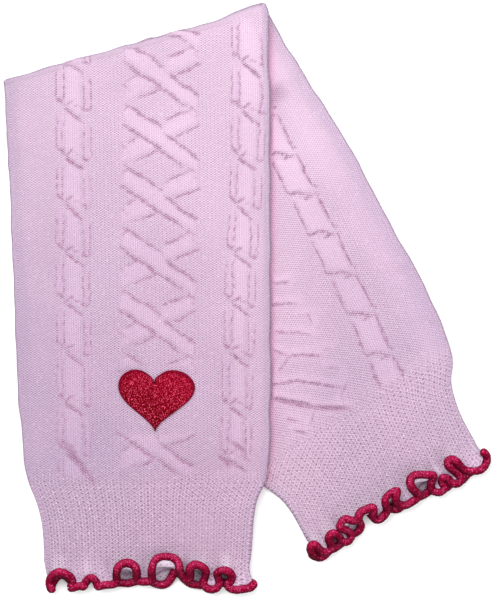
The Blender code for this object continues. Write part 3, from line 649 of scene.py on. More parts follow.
def tones(leg, top, x, y, row, edge):
    """How pink the cloth is there and its painted light and shade, the painted greyer sheen and darker shade of a
    rolled edge, where the cuffs' coarser knitting starts, and painted pink bounce light.
    """
    beside = outside_near_leg(x, y)
    blush = 0.25 + 0.45 * smooth((x + 70) / 80) + 0.1 * bumps(x, y, 46.0, 11)
    # painted light and shade: lighter towards the top and the right of the plan, a little unevenly, the far leg
    # lighter, the near leg darker towards its cuff
    light = 0.05 + 0.64 * smooth((y + 70) / 160) + 0.22 * smooth((x + 70) / 90) + 0.07 * bumps(x, y, 38.0, 12)
    light = light + (0.13 if leg is FAR else -0.14 * smooth((row - leg.cuff_at + 16) / 16))
    coarse = smooth((row - leg.cuff_at + 7 + 2.4 * bumps(x, y, 17.0, 14)) / 11)
    if leg is FAR and top:
        # painted pink bounce light: the far leg's cloth is painted pinker close to the near leg
        close = np.exp(-np.clip(beside, 0, None) / 6.0) * smooth((y + 62) / 40)
        blush = blush + 0.4 * close - 0.4 * smooth((beside - 8) / 20) - 0.3 * smooth((y - 30) / 30)
        # painted light and shade on the far leg's upper face: darker away from the near leg, beside its lower edge
        # and towards the top, lighter towards the far cuff
        light = light - 0.03 - 0.22 * smooth(beside / 25) - 0.2 * smooth(-y / 60) * np.exp(-beside / 9)
        light = light + 0.08 * smooth((row - 100) / 30) - 0.12 * smooth((y - 35) / 25)
        # painted shadow in the dimple beside the near leg's edge
        light = light - 0.9 * np.exp(-(((x - DIMPLE_SHADE[0]) / 3.6) ** 2) - ((y - DIMPLE_SHADE[1]) / 2.6) ** 2)
    # painted light: a narrow pink glow of light bounced from the near leg, on the far leg's cloth along its edge
    pink_bounce_light = groove(beside, PINK_BOUNCE_WIDTH) * (leg is FAR and top)
    return {"blush": blush, "light": light, "edge": edge, "coarse": coarse, "pink_bounce_light": pink_bounce_light}


def body_face(leg, outside, ring, turn, stitch):
    """Points, marks and rows of one face of the tube."""
    ring, turn, stitch = np.broadcast_arrays(ring[:, None], turn[:, None], stitch[None, :])
    pattern = NEAR.pattern if outside else FAR.pattern
    across = across_of(leg, pattern, ring, stitch)
    top = (leg is NEAR) == outside
    flat, row = tube_points(leg, ring, turn, across, HALF if outside else -HALF)
    x, y = flat[..., 0], flat[..., 1]
    if not top:
        sunk = edge_sink(stitch / STITCH_HALF) + 0.08 * (1 + bumps(across, row, 31.0, 8))
        crease, _ = creases_on(f"{leg.name} under", across, row)
        height = HALF - sunk * (leg is FAR) + crease
        points, _ = tube_points(leg, ring, turn, across, height if outside else -height)
        # the underside gets a little of the rolled edges' painted greyer sheen all over
        return points, tones(leg, top, x, y, row, 0.3 + 0 * x), row, across

    relief = Relief(ring.shape)
    if leg is NEAR:
        add_lattice(relief, across - across_of(leg, pattern, ring, 0.0 * stitch), row, pattern)
        for cable in (LEFT_CABLE, RIGHT_CABLE):
            add_cable(relief, across, row, cable)
    else:
        add_far_lattice(relief, across, row)
        add_far_cable(relief, across, row, FAR_CABLE)
    shown = 1 - smooth((row - leg.cuff_at + 3.2) / 2.6)
    if leg is NEAR:
        heart_x = (across - HEART_PLACE[0]) / (HEART_WIDTH / 2 + HEART_MARGIN)
        heart_y = (row - HEART_PLACE[1]) / (HEART_HEIGHT / 2 + HEART_MARGIN)
        shown = shown * smooth(((heart_x**4 + heart_y**4) ** 0.25 - 0.84) / 0.16)
    else:
        shown = shown * smooth((outside_near_leg(x, y) + 0.6) / 1.8)
    before_cuff = smooth((leg.cuff_at - row) / 4.0)
    crease, crease_line = creases_on(leg.name, across, row)
    lift = shown * (PUFF * relief.height - GROOVE * relief.valley) * (1 - 0.6 * smooth((turn - 1.2) / 0.8))
    lift = lift + 0.07 * before_cuff * bumps(across, row, 24.0, 5) + crease - edge_sink(stitch / STITCH_HALF)
    if leg is FAR:
        lift = np.where(outside_near_leg(x, y) < 0.5, np.minimum(lift, 0.0), lift)
    points, _ = tube_points(leg, ring, turn, across, HALF + lift if outside else -HALF - lift)
    # the far leg's right side counts as drawn out: narrower stitches, and the raised knitting's faint painted
    # highlight
    drawn_out = 0.6 * smooth((across - 25) / 6) if leg is FAR else 0.0
    # painted sheen and shade: greyer towards the rounded sides, darker where the sides and the fold turn down
    edge = smooth((np.abs(stitch) - STITCH_HALF + 2.6) / 2.6) + 2 * smooth((np.sin(turn) - 0.62) / 0.3)
    marks = {
        "valley": np.maximum(shown * relief.valley, crease_line),
        "ladder": shown * relief.ladder,
        "raised": np.maximum(shown * relief.height, drawn_out),
        **tones(leg, top, x, y, row, edge),
    }
    return points, marks, row, across


def body_side(leg, ring, turn, right):
    """Points, marks and rows of the rounded side at an edge of a face, in the order in which it is gone round."""
    sign = 1 if right else -1
    angle = np.linspace(0, math.pi, SIDE_STEPS + 2)[1:-1][::sign]
    ring, turn, angle = np.broadcast_arrays(ring[:, None], turn[:, None], angle[None, :])
    across = across_of(leg, leg.pattern, ring, np.full(ring.shape, sign * STITCH_HALF)) + sign * HALF * np.sin(angle)
    points, row = tube_points(leg, ring, turn, across, (HALF - EDGE_SINK) * np.cos(angle))
    # painted sheen and shade round the rounded side: greyer, and darker where it turns down
    edge = 1 + smooth((np.sin(angle) - 0.62) / 0.26)
    return points, tones(leg, False, points[..., 0], points[..., 1], row, edge), row, across


def add_leg(shell, leg, ring, turn, outside_columns, inside_columns):
    """A leg's outer skin, as a grid of rings. Returns its point numbers and the keys round a ring."""
    inside_columns = inside_columns[::-1]
    parts = [
        body_face(leg, True, ring, turn, outside_columns),
        body_side(leg, ring, turn, True),
        body_face(leg, False, ring, turn, inside_columns),
        body_side(leg, ring, turn, False),
    ]
    numbers = np.concatenate([shell.add_points(points, **marks) for points, marks, _, _ in parts], axis=1)
    rows = closed(np.concatenate([row for _, _, row, _ in parts], axis=1), 1)
    side = np.linspace(0, 1, SIDE_STEPS + 2)[1:-1]
    bend = math.pi * HALF
    keys = [outside_columns / STITCH_HALF, 1 + side, 3 - inside_columns / STITCH_HALF, 4 + side]
    outside_across, inside_across = parts[0][3], parts[2][3]
    round_side = np.broadcast_to(side * bend, (len(ring), SIDE_STEPS))
    start = outside_across[:, -1:]
    over = start + bend + inside_across[:, :1]
    stitch = [outside_across, start + round_side, over - inside_across, over - inside_across[:, -1:] + round_side]
    closing = over - inside_across[:, -1:] + bend
    shell.add_grid(numbers, np.concatenate([*stitch, closing], axis=1), rows, wrap=True)
    return numbers, np.concatenate(keys)


def make_body(material):
    """The knitted tube between its two cuffs, as one wall with a fine skin outside."""
    shell = Shell()
    near_ring = np.append(NEAR.cuff_at, spaced(NEAR.cuff_at - RIM, 0.0, ROW_STEP))
    far_ring = np.append(spaced(0.0, FAR.cuff_at - RIM, ROW_STEP), FAR.cuff_at)
    fold = np.radians(np.arange(10, 166, 12.0))
    ring = np.concatenate([near_ring, np.zeros(len(fold))])
    turn = np.concatenate([np.zeros(len(near_ring)), fold])
    near, near_keys = add_leg(shell, NEAR, ring, turn, face_columns(-99), face_columns(99))
    far, far_keys = add_leg(shell, FAR, far_ring, np.zeros(len(far_ring)), face_columns(99), face_columns(-12.0))
    shell.zip_loops(near[-1], near_keys, far[0], far_keys, 6.0, 0.0)

    stitch = np.linspace(-STITCH_HALF, STITCH_HALF, 15)
    lining = []
    for leg, rings, turns in (
        (NEAR, spaced(NEAR.cuff_at, 0.0, 3.0), 0.0),
        (NEAR, np.zeros(8), np.radians(np.arange(20, 161, 20.0))),
        (FAR, spaced(0.0, FAR.cuff_at, 3.0), 0.0),
    ):
        rings, turns, columns = np.broadcast_arrays(rings[:, None], np.asarray(turns).reshape(-1, 1), stitch[None, :])
        across = across_of(leg, leg.pattern, rings, columns) - turning(leg.pattern, rings, columns)
        over, _ = tube_points(leg, rings, turns, across, HOLLOW / 2)
        under, _ = tube_points(leg, rings, turns, across, -HOLLOW / 2)
        lining.append(np.concatenate([over, under[:, ::-1]], axis=1))
    numbers = shell.add_points(np.concatenate(lining), blush=0.5)
    shell.add_grid(numbers, np.arange(31) * 5.0, np.arange(len(numbers))[:, None] * 3.0, wrap=True)
    keys = np.concatenate([stitch / STITCH_HALF, 3 - stitch[::-1] / STITCH_HALF])
    shell.zip_loops(near[0], near_keys, numbers[0], keys, 6.0, NEAR.cuff_at)
    shell.zip_loops(far[-1], far_keys, numbers[-1], keys, 6.0, FAR.cuff_at)
    return shell.make("knitted_body_cloth", material)


# ---- the cuffs and their lettuce hems ----
UPPER, LOWER, SIDE = 0, 1, 2
Columns = namedtuple("Columns", "face turn start across along")  # start is where a column leaves the flat cloth
MOST_CURL = 1.3 * math.pi
FLAT_REACH = 5.0  # the length of rim over which the columns of the flat cloth even out its waves
TUCK = 0.6  # a cuff starts this far under the body's edge
TUCK_DEPTH = 0.1
RIM_WALL = 0.6  # the cloth is thinner where it runs into its cord


def rim_columns(leg, points, step):
    """Columns along one layer's rim, from left to right: where each starts on the flat cloth, and where it ends."""
    points = np.array(points)
    lengths = np.concatenate([[0], np.cumsum(np.hypot(*np.diff(points, axis=0).T))])
    places = spaced(0, lengths[-1], step)
    across, along = (through(lengths, points[:, k], places) for k in (0, 1))
    weights = np.exp(-(((places[:, None] - places[None, :]) / FLAT_REACH) ** 2) / 2)
    even = np.maximum.accumulate(weights @ across / weights.sum(axis=1)) + 0.01 * places
    left, right = -float(flat_half(leg, leg.hem_at, False)), float(flat_half(leg, leg.hem_at, True))
    return left + (right - left) * (even - even[0]) / (even[-1] - even[0]), across, along


def hem_columns(leg):
    """Columns round a hem: its upper face from left to right, a side, its lower face back, and the other side."""
    upper, lower = rim_columns(leg, leg.upper, 0.4), rim_columns(leg, leg.lower, 0.7)
    turns = spaced(0, math.pi, math.pi / 12)[1:-1]
    share = (1 - np.cos(turns)) / 2
    right = [(1 - share) * over[-1] + share * under[-1] for over, under in zip(upper, lower)]
    left = [(1 - share) * over[0] + share * under[0] for over, under in zip(upper, lower)]
    parts = [
        (UPPER, 0.0, *upper),
        (SIDE, turns, right[0], right[1] + SIDE_BULGE * np.sin(turns), right[2]),
        (LOWER, math.pi, *(values[::-1] for values in lower)),
        (SIDE, turns[::-1], left[0][::-1], left[1][::-1] - SIDE_BULGE * np.sin(turns), left[2][::-1]),
    ]
    return Columns(*np.concatenate([np.stack(np.broadcast_arrays(*part)) for part in parts], axis=1)[:, None, :])


def curl_angle(share):
    """The angle through which a strip curls when its end comes back to this share of its length."""
    low, high = np.zeros(share.shape), np.full(share.shape, MOST_CURL)
    for _ in range(40):
        angle = (low + high) / 2
        more = np.sin(angle) / angle > share
        low, high = np.where(more, angle, low), np.where(more, high, angle)
    return low


def cuff_points(leg, columns, along, curled):
    """The middle of a cuff's cloth, rows by columns. curled is how much of the hem's free end lies before a row."""
    along, curled = along[:, None], curled[:, None]
    right = columns.start > 0
    share = curled / CURL
    half, hem_half = flat_half(leg, along, right), flat_half(leg, leg.hem_at, right)
    rise = leg.hem_at - columns.along
    angle = np.maximum(share * curl_angle(1 - np.maximum(rise, 0) / CURL), 1e-6)
    run = curled * np.sin(angle) / angle - share * np.minimum(rise, 0)
    out = CURL_FLATNESS * curled * (1 - np.cos(angle)) / angle
    out = out * (columns.face != LOWER) * smooth(rise / FULL_CURL)
    cosine = np.cos(columns.turn)
    lift = HEM_LIFT * smooth(share) * (1 - smooth(rise / 5)) * (1 + cosine) / 2
    height = MIDDLE * cosine + lift + out * (1 + cosine) / 2
    across = columns.start * half / hem_half + np.sign(columns.start) * MIDDLE * np.sin(columns.turn) * (1 - share)
    across = across + share**2 * (columns.across - columns.start)
    start = along - curled + run
    x, y = plan(leg, across, start)
    return placed(x, y, height + floor_under(leg, x, y, start) + HALF)


def ease_columns(points, share):
    """Rounds the waves between the flat cloth and the rim: each row is smoothed along itself, by its own share."""
    for _ in range(5):
        beside = (np.roll(points, 1, axis=1) + np.roll(points, -1, axis=1)) / 2
        points = points + 0.5 * share[:, None, None] * (beside - points)
    return points


def cuff_surface(leg):
    """A cuff's middle surface as far as the middle of its cord, with where its rows lie."""
    columns = hem_columns(leg)
    flat = spaced(leg.cuff_at - TUCK, leg.hem_at - CURL, 0.6)
    curled = spaced(0, CURL, 0.42)[1:]
    along = np.concatenate([flat, leg.hem_at - CURL + curled])
    curled = np.concatenate([0 * flat, curled])
    points = ease_columns(cuff_points(leg, columns, along, curled), np.sin(math.pi * curled / CURL) ** 0.7)
    return columns, along, points


def grid_normals(points):
    """Unit normals of a grid whose rows close on themselves."""
    down = np.gradient(points, axis=0)
    around = np.roll(points, -1, axis=1) - np.roll(points, 1, axis=1)
    return unit(np.cross(down, around))


def make_cuff(name, leg, material):
    """One knitted cuff, from the body's seam to its rippled rim, as two skins."""
    columns, along, points = cuff_surface(leg)
    first = -float(flat_half(leg, along[0], False))
    stitch = np.broadcast_to(first + arc_lengths(points[:1]), (len(points), points.shape[1] + 1))
    share = columns.start / flat_half(leg, leg.hem_at, columns.start > 0)
    sink = np.where(columns.face == UPPER, edge_sink(share), 0.0)
    sink = np.where(columns.face == SIDE, EDGE_SINK * (1 + np.cos(columns.turn)) / 2, sink)
    before_hem = 1 - smooth((along - leg.hem_at + 8) / 8)[:, None]
    after_seam = smooth((along - leg.cuff_at) / 4)[:, None]
    x, y, z = points[..., 0], points[..., 1], points[..., 2]
    uneven = 0.1 * after_seam * bumps(x, y, 15.0, 9) + 0.07 * after_seam * before_hem * bumps(x, 0.4 * y, 6.0, 4)
    across, row = on_leg(leg, x, y)
    crease, crease_line = creases_on(leg.name, across, row)
    under, _ = creases_on(f"{leg.name} under", across, row)
    tuck = TUCK_DEPTH * (1 - smooth((along - leg.cuff_at + TUCK) / 1.4))[:, None] * np.cos(columns.turn)
    tuck = np.where(columns.face == LOWER, -TUCK_DEPTH, tuck) * (tuck != 0)
    lift = np.where(columns.face == LOWER, -under, uneven + crease * (columns.face == UPPER))
    lift = lift - sink * before_hem - tuck
    points = placed(x, y, z + lift)
    normals = grid_normals(points)
    shell = Shell()
    line = crease_line * (columns.face == UPPER)
    # painted sheen and shade at the cuff's rounded sides, and a greyer painted sheen at its flat edges
    round_side = 1 + smooth((np.sin(columns.turn) - 0.62) / 0.26)
    edge = np.broadcast_to(np.where(columns.face == SIDE, round_side, smooth((np.abs(share) - 0.93) / 0.07)), x.shape)
    marks = tones(leg, True, x, y, row, edge)
    near_hem = smooth((along - leg.hem_at + 11) / 6)[:, None]
    waved = near_hem * smooth((leg.hem_at - columns.along) / 4) * (columns.face == UPPER)
    # painted light: the cloth near the hem, and most of all above the waves, is painted lighter against the shade
    # that falls there
    marks["light"] = marks["light"] + 0.15 * near_hem + 0.5 * waved
    half = (WALL + (RIM_WALL - WALL) * smooth((along - leg.hem_at + CURL) / CURL))[:, None, None] / 2
    outer = shell.add_points(points + normals * half, valley=line, inside=0.5 * waved, **marks)
    # painted shade: a dark line where the cloth folds inside the hem; the inner skin near the hem is painted light
    fold = groove(along[:, None] - leg.hem_at + 3.4 - 0.7 * np.sin(0.8 * x), 0.5) * near_hem
    within = marks | {"edge": 0 * x, "inside": near_hem, "valley": 0.9 * fold}
    inner = shell.add_points(points - normals * (half - 0.2 * fold[..., None]), **within)
    for numbers, rows in (
        (outer, along),
        (inner, along),
        (np.stack([outer[0], inner[0]]), along[:2]),
        (np.stack([outer[-1], inner[-1]]), along[-2:]),
    ):
        shell.add_grid(numbers, stitch[: len(numbers)], rows[:, None], wrap=True)
    return shell.make(name, material)


# ---- the overlocked edgings ----
RIDGE = 0.62  # from one thread of the overlocking to the next
RIDGE_RINGS = 5  # points along the cord for each of them
THREAD_RADIUS = 1.25  # of the cord, out to its wound threads
CORD_AROUND = 16  # points round the cord
CORD_REST = 0.02  # the lowest that its threads reach


def evened(values):
    """Values along a closed path, drawn towards their neighbours."""
    for _ in range(12):
        values = (np.roll(values, 1, axis=0) + 2 * values + np.roll(values, -1, axis=0)) / 4
    return values


def resampled(path, values, count):
    """A closed path and the vectors along it, at even distances."""
    lengths = arc_lengths(path[None])[0]
    places = np.linspace(0, lengths[-1], count, endpoint=False)
    for table in (path, values):
        yield np.stack([np.interp(places, lengths, column) for column in closed(table).T], axis=1)


def make_edging(name, leg, material):
    """The thick overlocked cord that binds a hem: threads wound round it side by side, some plumper than others."""
    _, _, points = cuff_surface(leg)
    path = points[-1]
    outward = unit(path - points[-3])
    path[:, 2] = np.maximum(path[:, 2], THREAD_RADIUS + 0.1)
    length = arc_lengths(path[None])[0, -1]
    ridges = round(length / RIDGE)
    count = ridges * RIDGE_RINGS
    path, outward = (evened(values) for values in resampled(path, outward, count))
    tangent = unit(np.roll(path, -1, axis=0) - np.roll(path, 1, axis=0))
    first = unit(outward - tangent * np.sum(outward * tangent, axis=1, keepdims=True))
    second = np.cross(tangent, first)
    place = np.arange(count)[:, None] / RIDGE_RINGS
    angle = np.linspace(0, 2 * math.pi, CORD_AROUND, endpoint=False)[None, :]
    slanted = place + 0.35 * np.sin(angle) + 0.1 * np.sin(place * 0.37)
    ridge = np.abs(np.cos(math.pi * slanted))
    random = np.random.default_rng(21 if leg is NEAR else 22)
    plump = np.repeat(random.uniform(-0.03, 0.03, ridges), RIDGE_RINGS)[:, None]
    swell = 0.05 * np.sin(place * 0.11) + 0.04 * np.sin(place * 0.29 + 1.0)
    radius = THREAD_RADIUS - 0.05 + 0.1 * ridge + plump + swell
    offset = first[:, None] * np.cos(angle)[..., None] + second[:, None] * np.sin(angle)[..., None]
    tube = path[:, None] + offset * radius[..., None]
    tube[..., 2] = np.maximum(tube[..., 2], CORD_REST)
    shell = Shell()
    # painted light and shade: the cord is lighter on top and on its side towards +y, and dark below
    lit = smooth(0.1 + 0.62 * offset[..., 2] + 0.4 * offset[..., 1])
    numbers = closed(shell.add_points(tube, raised=ridge, light=lit, blush=plump * 12 + 0.5))
    rows = np.arange(count + 1)[:, None] * length / count
    around = np.linspace(0, 2 * math.pi * THREAD_RADIUS, CORD_AROUND + 1)[None, :]
    shell.add_grid(numbers, around, rows, wrap=True)
    return shell.make(name, material)


# ---- the heart ----
HEART_POINTS = 400
HEART_THICK = 0.9
HEART_SINK = -0.1  # it starts this far from the plain cloth
HEART_TILT, HEART_SKEW = 0.035, 0.031  # the right lobe lies lower, and the middle and the tip lie to the left
HEART_BORDER = [  # (size, height) as shares, from underneath, up round the border and down to the filling
    (0.3, 0.0), (0.6, 0.0), (0.97, 0.0), (0.995, 0.2), (1.0, 0.42), (0.994, 0.68), (0.98, 0.9), (0.962, 0.98),
    (0.944, 0.94), (0.93, 0.82), (0.92, 0.7), (0.91, 0.64), (0.89, 0.66),
]


def make_heart(material):
    """The embroidered heart: a speckled filling inside a raised satin border, pressed into the knitting."""
    outline_x, outline_y = heart_outline(HEART_POINTS)
    outline_y = outline_y - HEART_TILT * outline_x + 0.035 * np.exp(-((outline_x / 0.05) ** 2)) * (outline_y > 0)
    outline_x = 1.015 * outline_x - HEART_SKEW * (1 - 4 * outline_x**2)
    middle = -0.03
    filled = [(size, 0.68) for size in np.linspace(0.86, 0.02, 28)]
    size, height = np.array(HEART_BORDER + filled).T[:, :, None]
    x, y = outline_x[None, :] * size, middle + (outline_y[None, :] - middle) * size
    lengths = np.cumsum(np.hypot(*np.diff([outline_x * HEART_WIDTH, outline_y * HEART_HEIGHT], prepend=0)))
    border = smooth((size - 0.915) / 0.02) * (height > 0.3)
    threads = np.abs(np.sin(math.pi * lengths[None, :] / 0.8))
    filling = (size < 0.9) & (height > 0.3)
    across, along = HEART_PLACE[0] + x * HEART_WIDTH, HEART_PLACE[1] - y * HEART_HEIGHT
    plan_x, plan_y = plan(NEAR, across, along)
    fine = 0.05 * bumps(across * 2.2, along, 2.0, 31) + 0.07 * bumps(across, along, 5.0, 32)
    lift = height * HEART_THICK + 0.07 * border * (threads - 0.5) + np.where(filling, fine, 0.0)
    z = near_floor(plan_x, plan_y, along) + LEG_HEIGHT + HEART_SINK + lift
    shell = Shell()
    points = placed(plan_x, plan_y, z)
    # painted light: the heart is lighter towards its top and right
    numbers = shell.add_points(points, raised=border, light=smooth(0.5 + 0.9 * y + 0.5 * x))
    inward = (1 - size) * 11.0
    around = np.append(lengths, lengths[-1])[None, :]
    shell.add_grid(numbers, around, inward, wrap=True)
    for loop in (numbers[0], numbers[-1]):
        # the cap underneath, which nothing shows, rises to the middle of the filling as well
        centre = shell.add_points(points[-1].mean(axis=0)[None])
        shell.faces.append(np.stack([loop, np.roll(loop, -1), np.full(HEART_POINTS, centre[0])], axis=1))
        shell.knit.append(np.zeros((3 * HEART_POINTS, 2)))
    return shell.make("heart_embroidery", material)


# ---- materials ----
def colour(red, green, blue):
    """A colour as seen on a screen, 0 to 255, in linear light."""
    values = [v / 255 for v in (red, green, blue)]
    return tuple(v / 12.92 if v <= 0.04045 else ((v + 0.055) / 1.055) ** 2.4 for v in values) + (1.0,)


class Paint:
    """A material's nodes, built up from sums of sockets and numbers."""

    def __init__(self, name):
        self.material = bpy.data.materials.new(name)
        self.material.use_nodes = True
        self.nodes, self.links = self.material.node_tree.nodes, self.material.node_tree.links
        self.shader = self.nodes["Principled BSDF"]

    def feed(self, node, inputs):
        """Links other nodes' outputs to a node's inputs, or sets them to numbers or colours. Returns its outputs."""
        for name, value in inputs.items():
            if isinstance(value, bpy.types.NodeSocket):
                self.links.new(value, node.inputs[name])
            else:
                node.inputs[name].default_value = value
        return node.outputs

    def sum(self, operation, *values, clamp=False):
        """A sum of sockets and numbers. The commonest have names of their own, below."""
        node = self.nodes.new("ShaderNodeMath")
        node.operation, node.use_clamp = operation, clamp
        return self.feed(node, dict(enumerate(values)))[0]

    def times(self, first, second):
        return self.sum("MULTIPLY", first, second)

    def plus(self, first, second):
        return self.sum("ADD", first, second)

    def scaled(self, value, scale, offset):
        return self.sum("MULTIPLY_ADD", value, scale, offset)

    def towards(self, first, second, share):
        """A share of the way from one value to another."""
        return self.scaled(self.sum("SUBTRACT", second, first), share, first)

    def cosine(self, value, period):
        """From 1 to -1 and back, once each period."""
        return self.sum("COSINE", self.times(value, 2 * math.pi / period))

    def step(self, value, low, high):
        """0 below low and 1 above high, with an even ease between."""
        node = self.nodes.new("ShaderNodeMapRange")
        node.interpolation_type = "SMOOTHSTEP"
        return self.feed(node, {"Value": value, "From Min": low, "From Max": high})[0]

    def mix(self, factor, first, second):
        """A colour between two, its factor held from 0 to 1."""
        node = self.nodes.new("ShaderNodeMix")
        node.data_type = "RGBA"
        return self.feed(node, {0: factor, 6: first, 7: second})[2]

    def layers(self, base, *rows):
        """A colour with others laid over it, each given as (where, how much, colour)."""
        for where, share, seen in rows:
            base = self.mix(self.times(where, share), base, colour(*seen))
        return base

    def mark(self, name):
        """One of MARKS."""
        node = self.nodes.new("ShaderNodeAttribute")
        node.attribute_name = name
        return node.outputs["Fac"]

    def knit(self):
        """(stitch, row) in millimetres."""
        place = self.nodes.new("ShaderNodeUVMap")
        place.uv_map = "knit"
        return self.feed(self.nodes.new("ShaderNodeSeparateXYZ"), {0: place.outputs[0]})[:2]

    def noise(self, size, detail=2.0, stretch=(1, 1, 1), roughness=0.5):
        """Noise with features about size mm across, in the object's own space."""
        place = self.nodes.new("ShaderNodeTexCoord").outputs["Object"]
        scale = [s / (size * MM) for s in stretch]
        place = self.feed(self.nodes.new("ShaderNodeMapping"), {"Vector": place, "Scale": scale})[0]
        inputs = {"Vector": place, "Scale": 1.0, "Detail": detail, "Roughness": roughness}
        return self.feed(self.nodes.new("ShaderNodeTexNoise"), inputs)[0]

    def bump(self, height, distance, strength):
        """Bumps: height runs from 0 to 1 over a distance in millimetres."""
        inputs = {"Height": height, "Distance": distance * MM, "Strength": strength}
        self.feed(self.shader, {"Normal": self.feed(self.nodes.new("ShaderNodeBump"), inputs)[0]})

    def finish(self, base, roughness, sheen=0.0, sheen_roughness=0.4, tint=(1, 1, 1, 1), specular=0.15):
        """The material, with the values of its shader."""
        inputs = {"Base Color": base, "Roughness": roughness, "Specular IOR Level": specular}
        self.feed(self.shader, inputs)
        self.feed(self.shader, {"Sheen Weight": sheen, "Sheen Roughness": sheen_roughness, "Sheen Tint": tint})
        return self.material


WALE, COURSE = 1.15, 0.73  # width and height of a stitch of the body
PUFF_WALE = 0.68  # the stitches are drawn narrow where the knitting is raised
COARSE_WALE, COARSE_COURSE = 2.07, 1.26  # and from one hole to the next in the cuffs, where they meet the body


def cloth_base(paint, light, edge):
    """The yarn's colour, from grey to pink, with painted light and shade laid over it: sheen and shade at the rounded
    edges, pink bounce light beside the near leg, and light in the hems' hollows.
    """
    patches = paint.scaled(paint.noise(13.0, 2.0), 0.4, -0.2)
    return paint.layers(
        paint.mix(paint.plus(paint.mark("blush"), patches), colour(184, 172, 194), colour(211, 178, 198)),
        # painted light and shade, a little uneven
        (paint.plus(light, patches), 1.0, (235, 207, 228)),
        # painted sheen at the rounded edges, and painted shade where they turn down
        (paint.sum("MINIMUM", edge, 1.0), 0.6, (186, 172, 194)),
        (paint.step(edge, 1.0, 2.0), 0.7, (112, 98, 118)),
        # painted pink bounce light beside the near leg's edge
        (paint.mark("pink_bounce_light"), 0.75, (255, 186, 222)),
        # painted light in the hollows of the hems
        (paint.mark("inside"), 1.0, (250, 238, 252)),
    )


def knit_material(name):
    """Plain knitting of two sizes, with ribbed strands, painted shade between its stitches and in the cuffs' holes,
    and painted shade along the lines where the raised knitting folds under itself.
    """
    paint = Paint(name)
    stitch, row = paint.knit()
    grain, fuzz = paint.noise(0.36, 1.0, roughness=0.8), paint.noise(1.2, 3.0)
    names = ("light", "edge", "coarse", "ladder", "valley", "raised")
    light, edge, coarse, ladder, valley, raised = (paint.mark(mark) for mark in names)
    courses = paint.cosine(row, COURSE)
    loops = paint.times(paint.cosine(stitch, WALE), courses)
    loops = paint.scaled(loops, 0.48, paint.scaled(courses, 0.06, 0.48))
    loops = paint.towards(loops, paint.scaled(courses, 0.16, 0.42), paint.times(ladder, 0.8))
    stripes = paint.scaled(paint.cosine(stitch, PUFF_WALE), 0.24, 0.42)
    puffed = paint.sum("MULTIPLY", paint.sum("SUBTRACT", raised, ladder), 0.6, clamp=True)
    loops = paint.towards(loops, stripes, puffed)

    speckle = paint.scaled(grain, 3.0, -1.5)
    down = paint.cosine(row, COARSE_COURSE)
    holes = paint.times(paint.cosine(stitch, COARSE_WALE), down)
    holes = paint.plus(paint.scaled(down, 0.2, holes), speckle)
    holes = paint.times(paint.step(holes, 0.4, 1.5), coarse)
    columns = paint.scaled(paint.cosine(stitch, COARSE_WALE / 2), -0.4, speckle)
    columns = paint.times(paint.step(columns, 0.1, 0.9), coarse)

    # painted shade between the stitches, weaker where the painted light is stronger
    dent = paint.sum("MULTIPLY", paint.sum("SUBTRACT", 1.0, loops), paint.scaled(grain, 3.4, -0.7), clamp=True)
    shallow = paint.sum("MULTIPLY_ADD", light, -0.42, paint.scaled(coarse, -0.3, 1.08), clamp=True)
    # painted shade: frayed dark dots along the grooves
    frayed = paint.plus(speckle, paint.sum("SUBTRACT", valley, loops))
    line = paint.times(paint.step(frayed, -0.25, 0.3), paint.step(valley, 0.1, 0.4))
    caught = paint.times(paint.step(grain, 0.58, 0.66), paint.step(valley, 0.15, 0.4))
    base = paint.layers(
        cloth_base(paint, light, edge),
        # painted highlight on the raised knitting
        (raised, 0.06, (246, 214, 238)),
        (ladder, 0.2, (160, 134, 162)),
        (coarse, 0.25, (184, 142, 168)),
        (paint.times(dent, shallow), 1.0, (128, 92, 126)),
        (paint.step(grain, 0.52, 0.7), 0.45, (240, 220, 236)),
        (paint.step(grain, 0.48, 0.34), 0.3, (136, 100, 132)),
        (columns, 0.45, (232, 208, 224)),
        # painted shade in the holes of the cuff knitting
        (holes, 0.7, (106, 68, 102)),
        # painted shade in a soft band along the grooves and creases, and darker on their lines
        (paint.step(valley, 0.05, 0.6), 0.4, (168, 122, 152)),
        (line, 0.62, (118, 74, 108)),
        (caught, 0.5, (238, 216, 232)),
    )
    height = paint.plus(loops, paint.scaled(fuzz, 0.3, paint.times(grain, 0.6)))
    paint.bump(paint.sum("SUBTRACT", height, holes), 0.32, 1.0)
    return paint.finish(base, 0.92, 0.2, 0.5, colour(240, 230, 246))


def edging_material():
    """Crimson thread, with painted shade between its windings and underneath, and painted highlights and glints on
    its crests.
    """
    paint = Paint("crimson_overlock_thread")
    around, row = paint.knit()
    threads = paint.cosine(paint.scaled(around, 0.25, row), 0.3)
    grain = paint.noise(0.45, 1.0, roughness=0.8)
    ridge, light = paint.mark("raised"), paint.mark("light")
    # painted highlight where the windings face up
    crest = paint.times(paint.step(light, 0.7, 0.95), ridge)
    base = paint.layers(
        paint.mix(paint.mark("blush"), colour(134, 0, 42), colour(158, 0, 54)),
        # painted shade between the windings, and on the cord's underside
        (paint.sum("SUBTRACT", 1.0, ridge), 0.5, (86, 0, 24)),
        (paint.sum("SUBTRACT", 1.0, light), 0.85, (48, 0, 12)),
        # painted glints and painted highlights on the lit crests
        (paint.times(paint.step(grain, 0.57, 0.65), light), 0.6, (240, 104, 160)),
        (paint.times(crest, threads), 0.5, (226, 88, 146)),
    )
    paint.bump(paint.scaled(threads, 0.5, grain), 0.09, 0.9)
    return paint.finish(base, paint.scaled(grain, 0.25, 0.4), specular=0.02)


